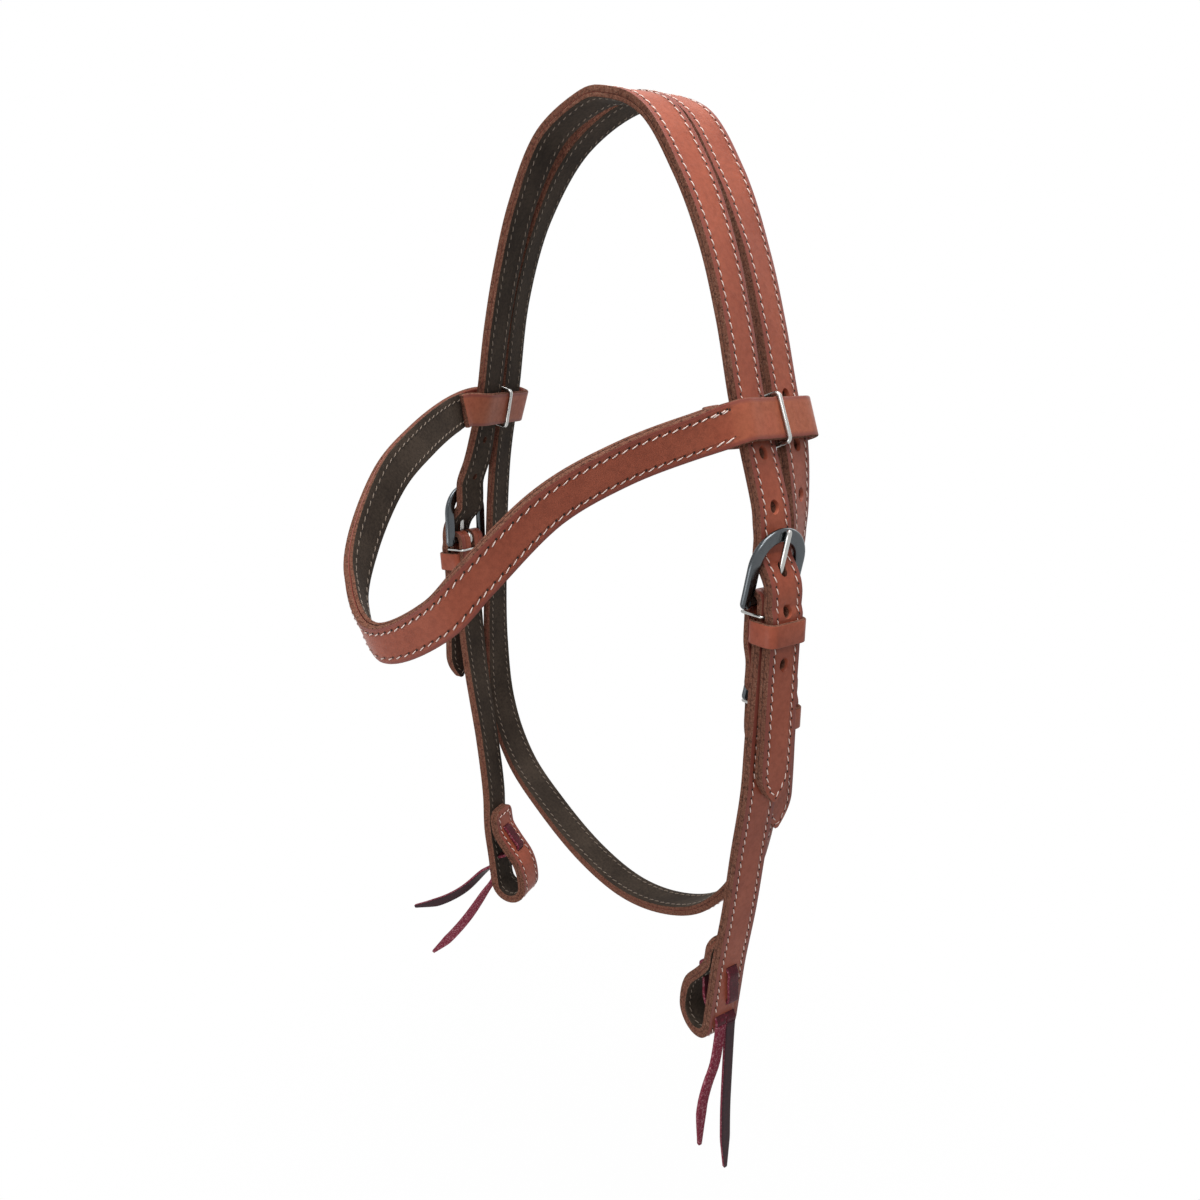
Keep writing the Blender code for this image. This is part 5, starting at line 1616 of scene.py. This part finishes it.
def build_floor(stage):
    """A wide pale floor that shows white to the camera and keeps a soft shadow."""
    bpy.ops.object.select_all(action="DESELECT")
    bpy.ops.mesh.primitive_plane_add(size=12.0, location=(0.0, 0.0, -stage.floor_drop))
    floor = new_name("floor")
    settle(floor)
    material = bpy.data.materials.new("pale floor")
    material.use_nodes = True
    tree = material.node_tree
    tree.nodes.remove(tree.nodes["Principled BSDF"])
    paint = add_node(tree, "ShaderNodeBsdfDiffuse", {"Color": (0.9, 0.9, 0.9, 1.0)})
    glow = add_node(tree, "ShaderNodeEmission", {"Color": (1.0, 1.0, 1.0, 1.0), "Strength": 1.0})
    ray = add_node(tree, "ShaderNodeLightPath")
    seen = add_node(tree, "ShaderNodeMath", {0: ray.outputs["Is Camera Ray"],
                                             1: ray.outputs["Is Transmission Ray"]},
                    operation="MAXIMUM")
    seen = add_node(tree, "ShaderNodeMath", {0: seen.outputs[0], 1: ray.outputs["Is Glossy Ray"]},
                    operation="MAXIMUM")
    spot = add_node(tree, "ShaderNodeTexCoord").outputs["Object"]
    reach = add_node(tree, "ShaderNodeVectorMath", {0: spot}, operation="LENGTH")
    white = add_node(tree, "ShaderNodeMapRange",
                     {"Value": reach.outputs["Value"], "From Min": 0.25, "From Max": 0.9,
                      "To Min": 0.93, "To Max": 1.0})
    share = add_node(tree, "ShaderNodeMath", {0: seen.outputs[0], 1: white.outputs[0]},
                     operation="MULTIPLY")
    mixed = add_node(tree, "ShaderNodeMixShader", {0: share.outputs[0], 1: paint.outputs[0],
                                                   2: glow.outputs[0]})
    tree.links.new(mixed.outputs[0], tree.nodes["Material Output"].inputs["Surface"])
    floor.data.materials.append(material)


def build_lights(stage):
    """A soft key nearly overhead, with weaker lamps before the left side, brow and rear."""
    for name, place, (width, height), share in LAMPS:
        lamp = bpy.data.lights.new(name, "AREA")
        lamp.energy = (stage.key_power if name == "key" else stage.fill_power) * share
        lamp.shape = "RECTANGLE"
        lamp.size = width
        lamp.size_y = height
        item = bpy.data.objects.new(name, lamp)
        bpy.context.scene.collection.objects.link(item)
        item.location = place
        aim = Vector(LAMP_AIM) - Vector(place)
        item.rotation_euler = aim.to_track_quat("-Z", "Y").to_euler()


def build_world(stage):
    """White to the camera and in the metal, and a weaker even light on the bridle."""
    world = bpy.data.worlds.new("white room")
    world.use_nodes = True
    tree = world.node_tree
    shader = tree.nodes["Background"]
    shader.inputs["Color"].default_value = (1.0, 1.0, 1.0, 1.0)
    ray = add_node(tree, "ShaderNodeLightPath")
    seen = add_node(tree, "ShaderNodeMath", {0: ray.outputs["Is Camera Ray"],
                                             1: ray.outputs["Is Transmission Ray"]},
                    operation="MAXIMUM")
    seen = add_node(tree, "ShaderNodeMath", {0: seen.outputs[0], 1: ray.outputs["Is Glossy Ray"]},
                    operation="MAXIMUM")
    strength = add_node(tree, "ShaderNodeMapRange", {"Value": seen.outputs[0],
                                                     "To Min": stage.room_light, "To Max": 1.0})
    tree.links.new(strength.outputs[0], shader.inputs["Strength"])
    bpy.context.scene.world = world


class BRIDLE_PT_panel(Panel):
    """Lists the bridle's pieces in the sidebar."""

    bl_label = "Western Bridle"
    bl_idname = "BRIDLE_PT_panel"
    bl_space_type = "VIEW_3D"
    bl_region_type = "UI"
    bl_category = "Bridle"

    def draw(self, context):
        for operator in OPERATORS:
            self.layout.operator(operator.bl_idname)
        for group in (context.scene.bridle_sizes, context.scene.bridle_colours,
                      context.scene.bridle_stage):
            box = self.layout.box()
            for name in group.__annotations__:
                box.prop(group, name)


GROUPS = (BridleSizes, BridleColours, BridleStage)
OPERATORS = (BRIDLE_OT_cheeks, BRIDLE_OT_crown, BRIDLE_OT_throatlatch, BRIDLE_OT_browband,
             BRIDLE_OT_buckles, BRIDLE_OT_keepers, BRIDLE_OT_stage)


def register():
    for item in (*GROUPS, *OPERATORS, BRIDLE_PT_panel):
        bpy.utils.register_class(item)
    bpy.types.Scene.bridle_sizes = PointerProperty(type=BridleSizes)
    bpy.types.Scene.bridle_colours = PointerProperty(type=BridleColours)
    bpy.types.Scene.bridle_stage = PointerProperty(type=BridleStage)


def unregister():
    del bpy.types.Scene.bridle_stage
    del bpy.types.Scene.bridle_colours
    del bpy.types.Scene.bridle_sizes
    for item in (BRIDLE_PT_panel, *reversed(OPERATORS), *reversed(GROUPS)):
        bpy.utils.unregister_class(item)


def main():
    register()
    bpy.ops.bridle.cheeks()
    bpy.ops.bridle.crown()
    bpy.ops.bridle.throatlatch()
    bpy.ops.bridle.browband()
    bpy.ops.bridle.buckles()
    bpy.ops.bridle.keepers()
    bpy.ops.bridle.stage()
    bpy.data.objects.remove(bpy.data.objects["stitch"])


if __name__ == "__main__":
    main()
